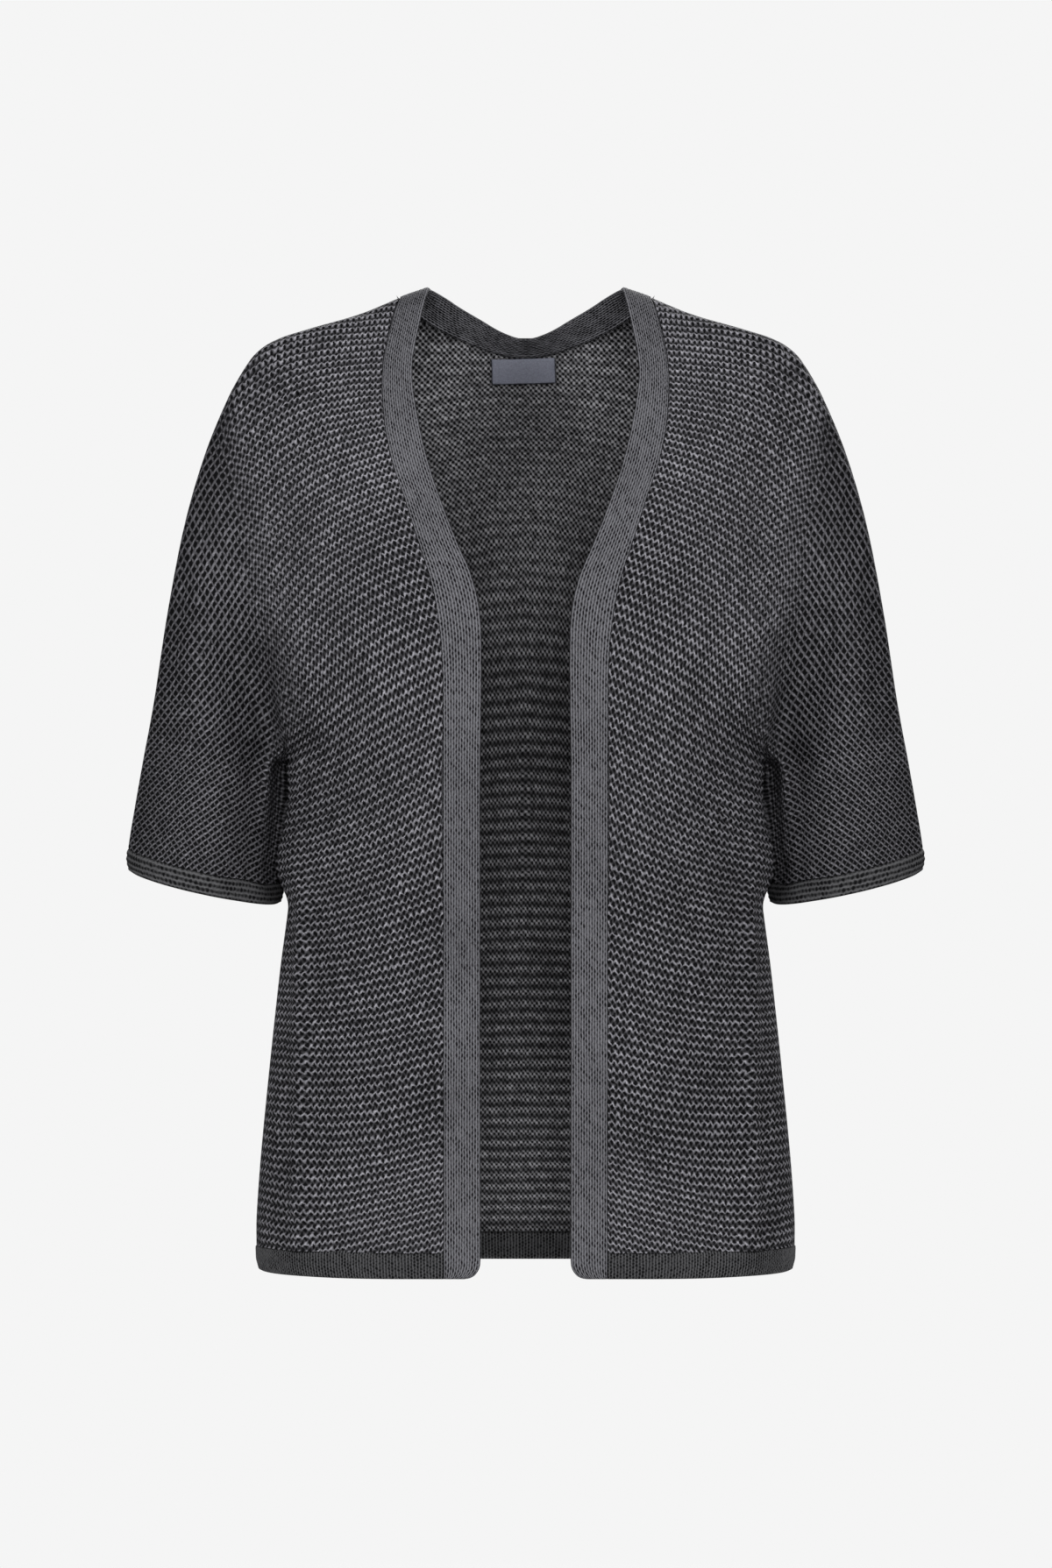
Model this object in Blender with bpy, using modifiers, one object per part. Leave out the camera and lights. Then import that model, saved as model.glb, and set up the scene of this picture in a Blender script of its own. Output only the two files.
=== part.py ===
"""An open-fronted cardigan with half sleeves cut in one with the body, hollow as if worn.

Frame: metres, +Z up. The garment's front faces -Y and its left sleeve (the wearer's left) is at +X.
The origin is midway between the two points where the shoulder line meets the neck, so the hem
is below it.

Every wall starts as an open surface over the garment's front view. A point of that view, (x, z),
lies some way in from the overarm seam and some way in from the underarm seam, and those two
distances and the depth tables below give how far the cloth stands in front of the seams, or
behind them. Solidify then gives each surface its thickness, inwards.
"""

import math
from collections import namedtuple

import bmesh
import bpy
import numpy as np

MM = 0.001

# Driving dimensions, in millimetres.
WALL = 2.5  # the main knit
TRIM_WALL = 3.1  # the front band, the hem and the cuffs are knitted closer
TRIM_PROUD = 0.3  # and stand this far over the main knit
SEAM_GAP = 0.3  # between the pieces that a seam joins
SEAM_TURN = 1.5  # the strip along a seam that faces straight out
HEM_SEAM_Z = -676.0
HEM_EDGE_Z = -694.0
HEM_DRAWN_IN = 2.5  # the hem's edge is this much narrower at each side
UNDERARM_Z = -337.0
ARM_DEPTH = 54.0  # from the overarm seam's plane to the front of the sleeve
ARM_ROUNDING = 54.0  # the sleeve is round, so it is as deep as it is half wide
SIDE_ROUNDING = 105.0  # how far in from the side seam the body's round edge reaches
SHOULDER_FALL = 155.0  # how far below the shoulder line the chest and back are at full depth
SLEEVE_FROM_X = 150.0  # the body's depth gives way to the sleeve's from here outwards
SLEEVE_BLEND = 50.0  # over this width
UNDERARM_BLEND = 60.0  # and, below the underarm, over this height
NECK_ROUNDING = 62.0  # how far out from the centre the back of the neck is eased round
ARM_FORWARD = 10.0  # the sleeve's end hangs this far forward of the shoulder
FORWARD_FROM_X = 150.0  # it starts to hang forward from here outwards
FORWARD_WIDTH = 110.0  # over this width
FORWARD_FROM_Z = -60.0  # and from here down
FORWARD_HEIGHT = 330.0  # over this height
CUFF_LEAN = 0.09  # the sleeve's end slopes down to the front by this much of its depth
CUFF_LEAN_HEIGHT = 75.0  # the slope grows over this height below the underarm
BAND_BACK_WIDTH = 13.0
LABEL_SIZE = (46.5, 17.6)
LABEL_CENTRE = (-1.5, -54.2)
LABEL_WALL = 0.8
LABEL_SLOPE = 1.08  # the back leans here, so straight back is further than through the wall
LABEL_TILT = math.radians(1.6)
FOLD_FADE = 26.0  # folds die out this near a seam

Knot = namedtuple("Knot", "x z")
Depth = namedtuple("Depth", "z front back")
Fold = namedtuple("Fold", "x1 z1 x2 z2 x3 z3 height width")

# The outline of the left half, seen from the front.
SHOULDER_LINE = (
    Knot(68.0, 0.0),
    Knot(89.0, -7.4),
    Knot(117.5, -19.0),
    Knot(152.0, -29.0),
    Knot(175.0, -36.5),
    Knot(190.0, -46.0),
)
ARM_LINE = (
    Knot(201.0, -61.0),
    Knot(212.0, -81.8),
    Knot(227.0, -119.0),
    Knot(241.2, -168.6),
    Knot(253.0, -230.6),
    Knot(262.3, -292.6),
    Knot(270.4, -337.0),
    Knot(277.8, -379.4),
    Knot(280.3, -395.6),
)
SIDE_SEAM = (
    Knot(158.5, UNDERARM_Z),
    Knot(156.2, -351.0),
    Knot(156.0, -367.0),
    Knot(159.5, -384.0),
    Knot(164.0, -401.0),
    Knot(166.5, -420.0),
    Knot(168.0, -440.0),
    Knot(173.0, -478.0),
    Knot(177.5, -518.0),
    Knot(182.5, -566.0),
    Knot(187.2, -615.0),
    Knot(190.0, -655.0),
    Knot(190.2, HEM_SEAM_Z + SEAM_GAP / 2),
)
HEM_OUTLINE = (
    Knot(190.2, HEM_SEAM_Z - SEAM_GAP / 2),
    Knot(189.8, -686.0),
    Knot(190.2 - HEM_DRAWN_IN, HEM_EDGE_Z),
)
INNER_SLEEVE_SEAM = (
    Knot(162.5, UNDERARM_Z),
    Knot(163.5, -353.0),
    Knot(165.0, -377.0),
    Knot(168.0, -400.0),
    Knot(171.0, -420.4),
)
CUFF_OUTER_LINE = (Knot(280.4, -396.0), Knot(281.2, -404.5), Knot(279.6, -411.5))
CUFF_INNER_LINE = (Knot(171.0, -420.8), Knot(171.6, -428.5), Knot(173.4, -435.0))
# The front band's seam to the front, and its free edge, from the shoulder down.
BAND_SEAM = (
    Knot(89.0, -7.4),
    Knot(94.0, -25.0),
    Knot(100.0, -60.0),
    Knot(98.6, -97.0),
    Knot(92.6, -127.6),
    Knot(84.0, -153.0),
    Knot(74.3, -184.0),
    Knot(66.2, -209.0),
    Knot(60.6, -236.0),
    Knot(57.6, -272.0),
    Knot(57.0, UNDERARM_Z),
)
BAND_EDGE = (
    Knot(68.0, 0.0),
    Knot(73.0, -22.0),
    Knot(79.0, -59.0),
    Knot(76.0, -90.0),
    Knot(67.6, -127.0),
    Knot(57.6, -157.0),
    Knot(46.8, -184.5),
    Knot(37.4, -206.5),
    Knot(31.6, -231.0),
    Knot(30.2, -264.0),
    Knot(31.2, UNDERARM_Z),
)
# The round corner where the free edge meets the hem's level.
BAND_CORNER = (
    Knot(31.2, -683.0),
    Knot(32.3, -687.6),
    Knot(35.4, -691.6),
    Knot(41.5, HEM_EDGE_Z),
)
# The same two lines round the back of the neck, from the shoulder to the centre.
NECK_SEAM = (
    Knot(89.0, -7.4),
    Knot(76.0, -16.0),
    Knot(60.0, -25.5),
    Knot(42.0, -34.0),
    Knot(22.0, -41.2),
    Knot(8.0, -44.2),
    Knot(0.0, -31.5 - BAND_BACK_WIDTH),
)
NECK_EDGE = (
    Knot(68.0, 0.0),
    Knot(58.0, -4.6),
    Knot(46.0, -11.6),
    Knot(33.0, -18.6),
    Knot(19.0, -26.4),
    Knot(7.0, -31.0),
    Knot(0.0, -31.5),
)
# How far the body stands in front of the seams and behind them, well inside its outline.
BODY_DEPTHS = (
    Depth(0.0, 107.0, 92.0),
    Depth(-80.0, 109.0, 97.0),
    Depth(-160.0, 113.0, 103.0),
    Depth(-250.0, 116.0, 104.0),
    Depth(-340.0, 113.0, 101.0),
    Depth(-450.0, 107.5, 97.0),
    Depth(-570.0, 105.0, 98.0),
    Depth(-694.0, 106.0, 103.0),
)
# Each fold runs along a bent line through three points. A negative height is a trough.
FRONT_FOLDS = (
    Fold(66.0, -392.0, 103.0, -470.0, 165.0, -541.0, 5.5, 26.0),
    Fold(80.0, -452.0, 103.0, -505.0, 148.0, -552.0, -5.0, 20.0),
    Fold(62.0, -532.0, 106.0, -612.0, 176.0, -661.0, 6.0, 26.0),
    Fold(66.0, -580.0, 93.0, -630.0, 128.0, -672.0, -5.0, 20.0),
    Fold(160.0, -256.0, 152.0, -292.0, 146.0, -330.0, 7.0, 19.0),
    Fold(194.0, -262.0, 182.0, -300.0, 172.0, -336.0, -6.0, 18.0),
    Fold(122.0, -290.0, 126.0, -320.0, 134.0, -352.0, -4.0, 19.0),
    Fold(212.0, -240.0, 203.0, -322.0, 190.0, -400.0, -4.5, 19.0),
    Fold(232.0, -225.0, 229.0, -300.0, 220.0, -392.0, 3.5, 20.0),
)
BACK_FOLDS = (
    Fold(30.0, -470.0, 70.0, -540.0, 150.0, -590.0, 4.5, 28.0),
    Fold(60.0, -395.0, 100.0, -440.0, 158.0, -468.0, -5.0, 24.0),
    Fold(20.0, -560.0, 60.0, -620.0, 120.0, -668.0, -4.0, 26.0),
    Fold(162.0, -250.0, 153.0, -292.0, 147.0, -332.0, 7.0, 19.0),
    Fold(194.0, -258.0, 182.0, -298.0, 172.0, -336.0, -6.0, 18.0),
    Fold(112.0, -205.0, 118.0, -260.0, 132.0, -322.0, -4.5, 20.0),
    Fold(214.0, -246.0, 206.0, -325.0, 194.0, -398.0, -4.5, 18.0),
)

# How the surfaces are divided. Rows are closer near the shoulder and near the underarm.
UPPER_ROWS = (
    0.0, 0.012, 0.04, 0.08, 0.13, 0.19, 0.26, 0.34, 0.42, 0.5,
    0.575, 0.645, 0.71, 0.765, 0.815, 0.86, 0.9, 0.935, 0.965, 0.985, 1.0,
)
BAND_COLUMNS = (0.0, 0.34, 0.67, 0.94, 1.0)
FRONT_COLUMNS = 7
BACK_NECK_COLUMNS = 8
BACK_SHOULDER_COLUMNS = 3
SLEEVE_COLUMNS = 8
BODY_ROWS = 15
SLEEVE_ROWS = 4
HEM_ROWS = (0.0, 0.5, 1.0)
LABEL_COLUMNS = 8
LABEL_ROWS = 3
SEAM_COLUMN = 0.02  # a narrow first column keeps a panel's edge square to its wall
TOP_SHARE = 0.5  # how much of the shoulder line the body's columns take
BACK_SHOULDER_SHARE = 0.45  # where the last of them stands on the back
CURVE_STEPS = 10  # straight steps between two knots of a smooth line
FOLD_STEPS = 12  # straight steps along a fold

# Colours, roughness.
KNIT = ((0.105, 0.105, 0.118, 1.0), 0.72)
TRIM = ((0.135, 0.135, 0.15, 1.0), 0.68)
SATIN = ((0.06, 0.065, 0.085, 1.0), 0.42)


def smooth_line(knots):
    """A fine run of points on a Catmull-Rom curve through the knots."""
    p = np.array(knots, float)
    ends = np.vstack([2 * p[0] - p[1], p, 2 * p[-1] - p[-2]])
    t = np.arange(CURVE_STEPS)[:, None] / CURVE_STEPS
    spans = []
    for i in range(len(p) - 1):
        a, b, c, d = ends[i : i + 4]
        bend = 2 * a - 5 * b + 4 * c - d
        twist = -a + 3 * b - 3 * c + d
        spans.append(0.5 * (2 * b + (c - a) * t + bend * t**2 + twist * t**3))
    return np.vstack([*spans, p[-1:]])


def lengths(line):
    """How far along the line each of its points is."""
    steps = np.linalg.norm(np.diff(line, axis=0), axis=1)
    return np.concatenate([[0.0], np.cumsum(steps)])


def along(line, fractions):
    """The points at these fractions of the line's length."""
    far = lengths(line)
    at = np.asarray(fractions, float) * far[-1]
    return np.stack([np.interp(at, far, line[:, k]) for k in range(line.shape[1])], axis=1)


def moved(line, distance):
    """The line moved sideways in the front view, to its left as it runs."""
    run = np.gradient(line, axis=0)
    run /= np.linalg.norm(run, axis=1)[:, None]
    return line + distance * np.stack([-run[:, 1], run[:, 0]], axis=1)


def gap_to(line, x, z):
    """The distance from each point (x, z) to the line."""
    p = np.stack([x, z], axis=-1)[..., None, :]
    a, b = line[:-1], line[1:]
    run = b - a
    t = ((p - a) * run).sum(-1) / (run * run).sum(-1)
    near = a + np.clip(t, 0, 1)[..., None] * run
    return np.linalg.norm(p - near, axis=-1).min(-1)


def ease(t):
    """0 to 1, level at both ends."""
    t = np.clip(t, 0, 1)
    return t * t * (3 - 2 * t)


def rounded(t):
    """A quarter circle: 0 at the outline, 1 from t = 1 inwards."""
    return np.sqrt(1 - (1 - np.clip(t, 0, 1)) ** 2)


SHOULDER_AND_ARM = smooth_line(SHOULDER_LINE + ARM_LINE)
SHOULDER_POINTS = (len(SHOULDER_LINE) - 1) * CURVE_STEPS + 1
SHOULDER = SHOULDER_AND_ARM[:SHOULDER_POINTS]
ARM = SHOULDER_AND_ARM[SHOULDER_POINTS - 1 :]
SIDE = smooth_line(SIDE_SEAM)
INNER_SLEEVE = smooth_line(INNER_SLEEVE_SEAM)
HEM_SIDE = np.array(HEM_OUTLINE, float)
CUFF_OUTER = np.array(CUFF_OUTER_LINE, float)
CUFF_INNER = np.array(CUFF_INNER_LINE, float)
OVERARM = np.vstack([SHOULDER_AND_ARM, CUFF_OUTER])
UNDERARM = np.vstack([HEM_SIDE[::-1], SIDE[::-1], INNER_SLEEVE, CUFF_INNER])
UNDERARM_X = (SIDE_SEAM[0].x + INNER_SLEEVE_SEAM[0].x) / 2


def body_share(region, x, z, over):
    """1 where the cloth hangs as the body, 0 where it is sleeve, and between them at the shoulder."""
    share = ease(over / SHOULDER_FALL) * (1 - ease((x - SLEEVE_FROM_X) / SLEEVE_BLEND))
    below = ease((UNDERARM_Z - z) / UNDERARM_BLEND)
    if region == "body":
        return share + (1 - share) * below
    if region == "sleeve":
        return share * (1 - below)
    return share


def underarm_rounding(region, x, z):
    """How far the round edge reaches in from the underarm seam."""
    if region == "body":
        return np.full(x.shape, SIDE_ROUNDING)
    if region == "sleeve":
        return np.full(x.shape, ARM_ROUNDING)
    turn = np.arctan2(np.maximum(z - UNDERARM_Z, 0), x - UNDERARM_X) / math.pi
    return ARM_ROUNDING + (SIDE_ROUNDING - ARM_ROUNDING) * ease(turn)


def fold_height(fold, x, z):
    """How far one fold lifts the cloth at (x, z)."""
    t = np.linspace(0, 1, FOLD_STEPS + 1)[:, None]
    a = np.array([fold.x1, fold.z1])
    b = np.array([fold.x2, fold.z2])
    c = np.array([fold.x3, fold.z3])
    line = a * (1 - t) ** 2 + 2 * b * t * (1 - t) + c * t**2
    return fold.height * np.exp(-((gap_to(line, x, z) / fold.width) ** 2))


def eased_centre(x):
    """x, but level at the centre line, so that the back of the neck is round and not peaked."""
    return x + NECK_ROUNDING / 3 * (1 - np.clip(x / NECK_ROUNDING, 0, 1)) ** 3


def stand_off(side, region, x, z):
    """How far the outer face stands in front of the seams' plane, or behind it, at (x, z)."""
    over = gap_to(OVERARM, eased_centre(x), z)
    under = gap_to(UNDERARM, x, z)
    levels = [-row.z for row in BODY_DEPTHS]
    depths = [getattr(row, side) for row in BODY_DEPTHS]
    body = np.interp(-z, levels, depths)
    full = ARM_DEPTH + body_share(region, x, z, over) * (body - ARM_DEPTH)
    edge = rounded(over / ARM_ROUNDING) * rounded(under / underarm_rounding(region, x, z))
    folds = FRONT_FOLDS if side == "front" else BACK_FOLDS
    lift = sum(fold_height(fold, x, z) for fold in folds)
    return full * edge + lift * ease(over / FOLD_FADE) * ease(under / FOLD_FADE)


def seam_y(x, z):
    """The y of the overarm and underarm seams: the sleeve hangs a little forward."""
    outwards = ease((x - FORWARD_FROM_X) / FORWARD_WIDTH)
    return -ARM_FORWARD * outwards * ease((FORWARD_FROM_Z - z) / FORWARD_HEIGHT)


def placed(side, region, flat):
    """The outer face over points (x, z) of the front view, as (x, y, z)."""
    x, z = flat[..., 0], flat[..., 1]
    off = SEAM_GAP / 2 + SEAM_TURN + stand_off(side, region, x, z)
    y = seam_y(x, z) + (-off if side == "front" else off)
    if region == "sleeve":
        z = z + CUFF_LEAN * (y - seam_y(x, z)) * ease((UNDERARM_Z - z) / CUFF_LEAN_HEIGHT)
    return np.stack([x, y, z], axis=-1)


def toward_end(n):
    """n + 1 fractions, closer together towards 1."""
    return np.sin(np.linspace(0, math.pi / 2, n + 1))


def toward_both(n):
    """n + 1 fractions, closer together at both ends."""
    return (1 - np.cos(np.linspace(0, math.pi, n + 1))) / 2


def between(a, b, fractions):
    """Points on the straight line from a to b."""
    return np.array(a) + np.asarray(fractions)[:, None] * (np.array(b) - np.array(a))


def blended(top, bottom, left, right, across, down):
    """A grid of points inside four sides: rows run from left to right (a Coons patch)."""
    u, v = np.asarray(across)[None, :, None], np.asarray(down)[:, None, None]
    sides = (1 - v) * top[None] + v * bottom[None] + (1 - u) * left[:, None] + u * right[:, None]
    ends = (1 - u) * (1 - v) * top[0] + u * (1 - v) * top[-1]
    ends = ends + (1 - u) * v * bottom[0] + u * v * bottom[-1]
    return sides - ends


def panel_grids(top, inner, hem_x, columns):
    """The front-view grids of a front, or of half the back.

    top is the points of the panel's top edge, out to the shoulder's corner. inner is its front
    or centre line down to the underarm's level, and hem_x where that line meets the hem. columns
    are the fractions of the body's width at which its columns stand.
    """
    at_underarm = np.argmin(abs(ARM[:, 1] - UNDERARM_Z))
    sleeve_columns = toward_both(SLEEVE_COLUMNS)
    body_bottom = between(inner[-1], SIDE[0], columns)
    sleeve_bottom = between(INNER_SLEEVE[0], ARM[at_underarm], sleeve_columns)
    bottom = np.vstack([body_bottom, sleeve_bottom])
    across = (lengths(bottom) / lengths(bottom)[-1] + lengths(top) / lengths(top)[-1]) / 2
    left = along(inner, UPPER_ROWS)
    right = along(ARM[: at_underarm + 1], UPPER_ROWS)
    upper = blended(top, bottom, left, right, across, UPPER_ROWS)
    down = np.linspace(0, 1, BODY_ROWS + 1)
    left = between(inner[-1], (hem_x, SIDE[-1][1]), down)
    body = spanned(left, along(SIDE, down), columns)
    down = np.linspace(0, 1, SLEEVE_ROWS + 1)
    lower_arm = along(ARM[at_underarm:], down)
    sleeve = spanned(along(INNER_SLEEVE, down), lower_arm, sleeve_columns)
    return {"upper": upper, "body": body, "sleeve": sleeve}


def spanned(left, right, columns):
    """A grid whose rows are straight from the left points to the right points."""
    return np.array([between(a, b, columns) for a, b in zip(left, right)])


def turned_to_seam(path, side):
    """A strip from a panel's outline straight back, or forward, to its seam."""
    seam = path.copy()
    seam[:, 1] += SEAM_TURN if side == "front" else -SEAM_TURN
    return np.stack([path, seam])


def seam_strips(points, shoulder_from, side):
    """The strips along a panel's overarm seam and along its underarm seam."""
    upper, body, sleeve = points["upper"], points["body"], points["sleeve"]
    overarm = np.vstack([upper[0, shoulder_from:], upper[1:, -1], sleeve[1:, -1]])
    underarm = np.vstack([body[::-1, -1], sleeve[:, 0]])
    return [turned_to_seam(path, side) for path in (overarm, underarm)]


def add_grid(bm, points):
    """A sheet of quads over a grid of points."""
    verts = [[bm.verts.new(point * MM) for point in row] for row in points]
    for above, below in zip(verts, verts[1:]):
        for i in range(len(above) - 1):
            bm.faces.new((above[i], below[i], below[i + 1], above[i + 1]))


def sheet_mesh(name, grids, mirrored=False):
    """One welded open mesh from several grids, with its faces out."""
    bm = bmesh.new()
    for grid in grids:
        add_grid(bm, grid)
    bmesh.ops.remove_doubles(bm, verts=bm.verts, dist=1e-6)
    bmesh.ops.recalc_face_normals(bm, faces=bm.faces)
    furthest = max(bm.faces, key=lambda face: abs(face.calc_center_median().y))
    if furthest.normal.y * furthest.calc_center_median().y < 0:
        bmesh.ops.reverse_faces(bm, faces=bm.faces)
    if mirrored:
        for vert in bm.verts:
            vert.co.x = -vert.co.x
        bmesh.ops.reverse_faces(bm, faces=bm.faces)
    mesh = bpy.data.meshes.new(name)
    bm.to_mesh(mesh)
    bm.free()
    return mesh


def material(name, look):
    colour, roughness = look
    made = bpy.data.materials.new(name)
    made.use_nodes = True
    shader = made.node_tree.nodes["Principled BSDF"]
    shader.inputs["Base Color"].default_value = colour
    shader.inputs["Roughness"].default_value = roughness
    return made


def add_piece(parts, name, mesh, look, wall, proud=0.0, halved=False):
    """A cloth piece: an open surface, mirrored over the centre if it is half, given its wall."""
    piece = bpy.data.objects.new(name, mesh)
    parts.objects.link(piece)
    mesh.materials.append(material(name, look))
    mesh.shade_smooth()
    if halved:
        mirror = piece.modifiers.new("other_half", "MIRROR")
        mirror.merge_threshold = 1e-5
    thick = piece.modifiers.new("wall", "SOLIDIFY")
    thick.thickness = wall * MM
    thick.offset = 2 * proud / wall - 1
    thick.use_even_offset = True
    thick.use_quality_normals = True
    return piece


def shoulder_past(distance):
    """The shoulder line from this far past the front band's seam."""
    far = lengths(SHOULDER)
    band = np.interp(BAND_SEAM[0].x, SHOULDER[:, 0], far) + distance
    start = band / far[-1]
    return along(SHOULDER, np.linspace(start, 1, SHOULDER_POINTS))


def add_fronts(parts):
    """The two fronts, each with the front half of its sleeve."""
    shoulder = shoulder_past(SEAM_GAP / 2)
    seam = moved(smooth_line(BAND_SEAM), SEAM_GAP / 2)
    seam[0] = shoulder[0]
    columns = np.concatenate([[0.0, SEAM_COLUMN], toward_end(FRONT_COLUMNS)[1:]])
    sleeve_share = 1 - TOP_SHARE - SEAM_COLUMN
    out_to_corner = 1 - sleeve_share * (1 - toward_both(SLEEVE_COLUMNS))
    top = along(shoulder, np.concatenate([TOP_SHARE * columns, out_to_corner]))
    grids = panel_grids(top, seam, seam[-1][0], columns)
    points = {region: placed("front", region, grid) for region, grid in grids.items()}
    strips = seam_strips(points, 0, "front")
    for name, mirrored in (("front_left", False), ("front_right", True)):
        mesh = sheet_mesh(name, [*points.values(), *strips], mirrored)
        add_piece(parts, name, mesh, KNIT, WALL)


def add_back(parts):
    """The back, with the back halves of both sleeves."""
    shoulder = shoulder_past(SEAM_GAP / 2)
    neck = moved(smooth_line(NECK_SEAM), SEAM_GAP / 2)[::-1]
    neck[-1] = shoulder[0]
    neck[0][0] = 0.0
    neck_columns = along(neck, toward_end(BACK_NECK_COLUMNS))
    inner_share = np.linspace(0, BACK_SHOULDER_SHARE, BACK_SHOULDER_COLUMNS + 1)[1:]
    outer_share = TOP_SHARE + (1 - TOP_SHARE) * toward_both(SLEEVE_COLUMNS)
    top = np.vstack([neck_columns, along(shoulder, np.concatenate([inner_share, outer_share]))])
    centre = between(neck[0], (0.0, UNDERARM_Z), np.linspace(0, 1, CURVE_STEPS))
    columns = toward_end(BACK_NECK_COLUMNS + BACK_SHOULDER_COLUMNS)
    grids = panel_grids(top, centre, 0.0, columns)
    points = {region: placed("back", region, grid) for region, grid in grids.items()}
    strips = seam_strips(points, BACK_NECK_COLUMNS, "back")
    mesh = sheet_mesh("back", [*points.values(), *strips])
    add_piece(parts, "back", mesh, KNIT, WALL, halved=True)


def add_hems(parts):
    """The close-knitted hem below each panel."""
    side = along(HEM_SIDE, HEM_ROWS)
    front_columns = np.concatenate([[0.0, SEAM_COLUMN], toward_end(FRONT_COLUMNS)[1:]])
    inner_x = BAND_SEAM[-1].x + SEAM_GAP / 2
    inner = np.stack([np.full(len(side), inner_x), side[:, 1]], axis=1)
    front = placed("front", "body", spanned(inner, side, front_columns))
    front_grids = [front, turned_to_seam(front[:, -1], "front")]
    for name, mirrored in (("hem_left", False), ("hem_right", True)):
        mesh = sheet_mesh(name, front_grids, mirrored)
        add_piece(parts, name, mesh, TRIM, TRIM_WALL, TRIM_PROUD)
    centre = np.stack([np.zeros(len(side)), side[:, 1]], axis=1)
    columns = toward_end(BACK_NECK_COLUMNS + BACK_SHOULDER_COLUMNS)
    back = placed("back", "body", spanned(centre, side, columns))
    mesh = sheet_mesh("hem_back", [back, turned_to_seam(back[:, -1], "back")])
    add_piece(parts, "hem_back", mesh, TRIM, TRIM_WALL, TRIM_PROUD, halved=True)


def add_cuffs(parts):
    """The cuffs, each one tube."""
    inner, outer = along(CUFF_INNER, HEM_ROWS), along(CUFF_OUTER, HEM_ROWS)
    flat = spanned(inner, outer, toward_both(SLEEVE_COLUMNS))
    front, back = placed("front", "sleeve", flat), placed("back", "sleeve", flat)
    ring = np.concatenate([front, back[:, ::-1], front[:, :1]], axis=1)
    for name, mirrored in (("cuff_left", False), ("cuff_right", True)):
        mesh = sheet_mesh(name, [ring], mirrored)
        add_piece(parts, name, mesh, TRIM, TRIM_WALL, TRIM_PROUD)


def add_band(parts):
    """One long strip: up a front, round the back of the neck and down the other front."""
    shoulder_seam = along(shoulder_past(-SEAM_GAP / 2), [0.0])[0]
    seam = moved(smooth_line(BAND_SEAM), -SEAM_GAP / 2)
    seam[0] = shoulder_seam
    edge = along(smooth_line(BAND_EDGE), UPPER_ROWS)
    upper = spanned(edge, along(seam, UPPER_ROWS), BAND_COLUMNS)
    down = np.linspace(0, 1, BODY_ROWS + 1)[1:]
    corner = np.array(BAND_CORNER, float)
    edge = np.vstack([between(BAND_EDGE[-1], BAND_CORNER[0], down), corner[1:]])
    seam = np.stack([np.full(len(edge), seam[-1][0]), edge[:, 1]], axis=1)
    front = np.vstack([upper, spanned(edge, seam, BAND_COLUMNS)])
    seam = moved(smooth_line(NECK_SEAM), -SEAM_GAP / 2)
    seam[0] = shoulder_seam
    seam[-1][0] = 0.0
    rows = 1 - toward_end(BACK_NECK_COLUMNS)[::-1]
    neck = spanned(along(smooth_line(NECK_EDGE), rows), along(seam, rows), BAND_COLUMNS)
    strip = np.vstack([placed("back", "upper", neck)[::-1], placed("front", "upper", front)])
    mesh = sheet_mesh("front_band", [strip])
    add_piece(parts, "front_band", mesh, TRIM, TRIM_WALL, TRIM_PROUD, halved=True)


def add_label(parts):
    """A small bare label, sewn inside the back under the band."""
    across = np.linspace(-0.5, 0.5, LABEL_COLUMNS + 1) * LABEL_SIZE[0]
    down = np.linspace(0.5, -0.5, LABEL_ROWS + 1) * LABEL_SIZE[1]
    along_x, along_z = np.meshgrid(across, down)
    x = LABEL_CENTRE[0] + along_x * math.cos(LABEL_TILT) - along_z * math.sin(LABEL_TILT)
    z = LABEL_CENTRE[1] + along_x * math.sin(LABEL_TILT) + along_z * math.cos(LABEL_TILT)
    points = placed("back", "upper", np.stack([abs(x), z], axis=-1))
    points[..., 0] = x
    points[..., 1] -= (WALL + SEAM_GAP) * LABEL_SLOPE
    mesh = sheet_mesh("label", [points])
    add_piece(parts, "label", mesh, SATIN, LABEL_WALL)


def build():
    for old in list(bpy.data.objects):
        bpy.data.objects.remove(old, do_unlink=True)
    parts = bpy.data.collections.new("cardigan")
    bpy.context.scene.collection.children.link(parts)
    add_fronts(parts)
    add_back(parts)
    add_hems(parts)
    add_cuffs(parts)
    add_band(parts)
    add_label(parts)


build()
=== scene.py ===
"""The looks of an open-fronted cardigan in chunky charcoal knit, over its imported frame.

The surfaces follow part.py's: a point (x, z) of the front view lies some way in from the overarm
seam and some way in from the underarm seam, and those two distances say how far the cloth stands
in front of the seams or behind them. Lengths are in millimetres until a mesh is made.

Each surface also carries the lay of its knit: how many stitches along a row, and how many rows
up, each of its points is. The tables below give the rows' slope and the stitches' size at some
places, and the lay is the pair of smooth fields that comes nearest to them everywhere.
"""

import math
from collections import namedtuple

import bpy
import numpy as np
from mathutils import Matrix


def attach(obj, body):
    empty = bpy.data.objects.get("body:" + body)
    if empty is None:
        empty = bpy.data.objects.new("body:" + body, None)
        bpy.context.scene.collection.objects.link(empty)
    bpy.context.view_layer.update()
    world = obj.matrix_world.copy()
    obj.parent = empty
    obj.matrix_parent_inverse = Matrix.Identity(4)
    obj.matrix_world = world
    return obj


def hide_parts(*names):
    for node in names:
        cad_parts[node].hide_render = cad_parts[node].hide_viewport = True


MM = 0.001
MIRRORED = (-1.0, 1.0, 1.0)
OUTWARDS = {"front": -1, "back": 1}  # which way each side faces, along y

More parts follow.
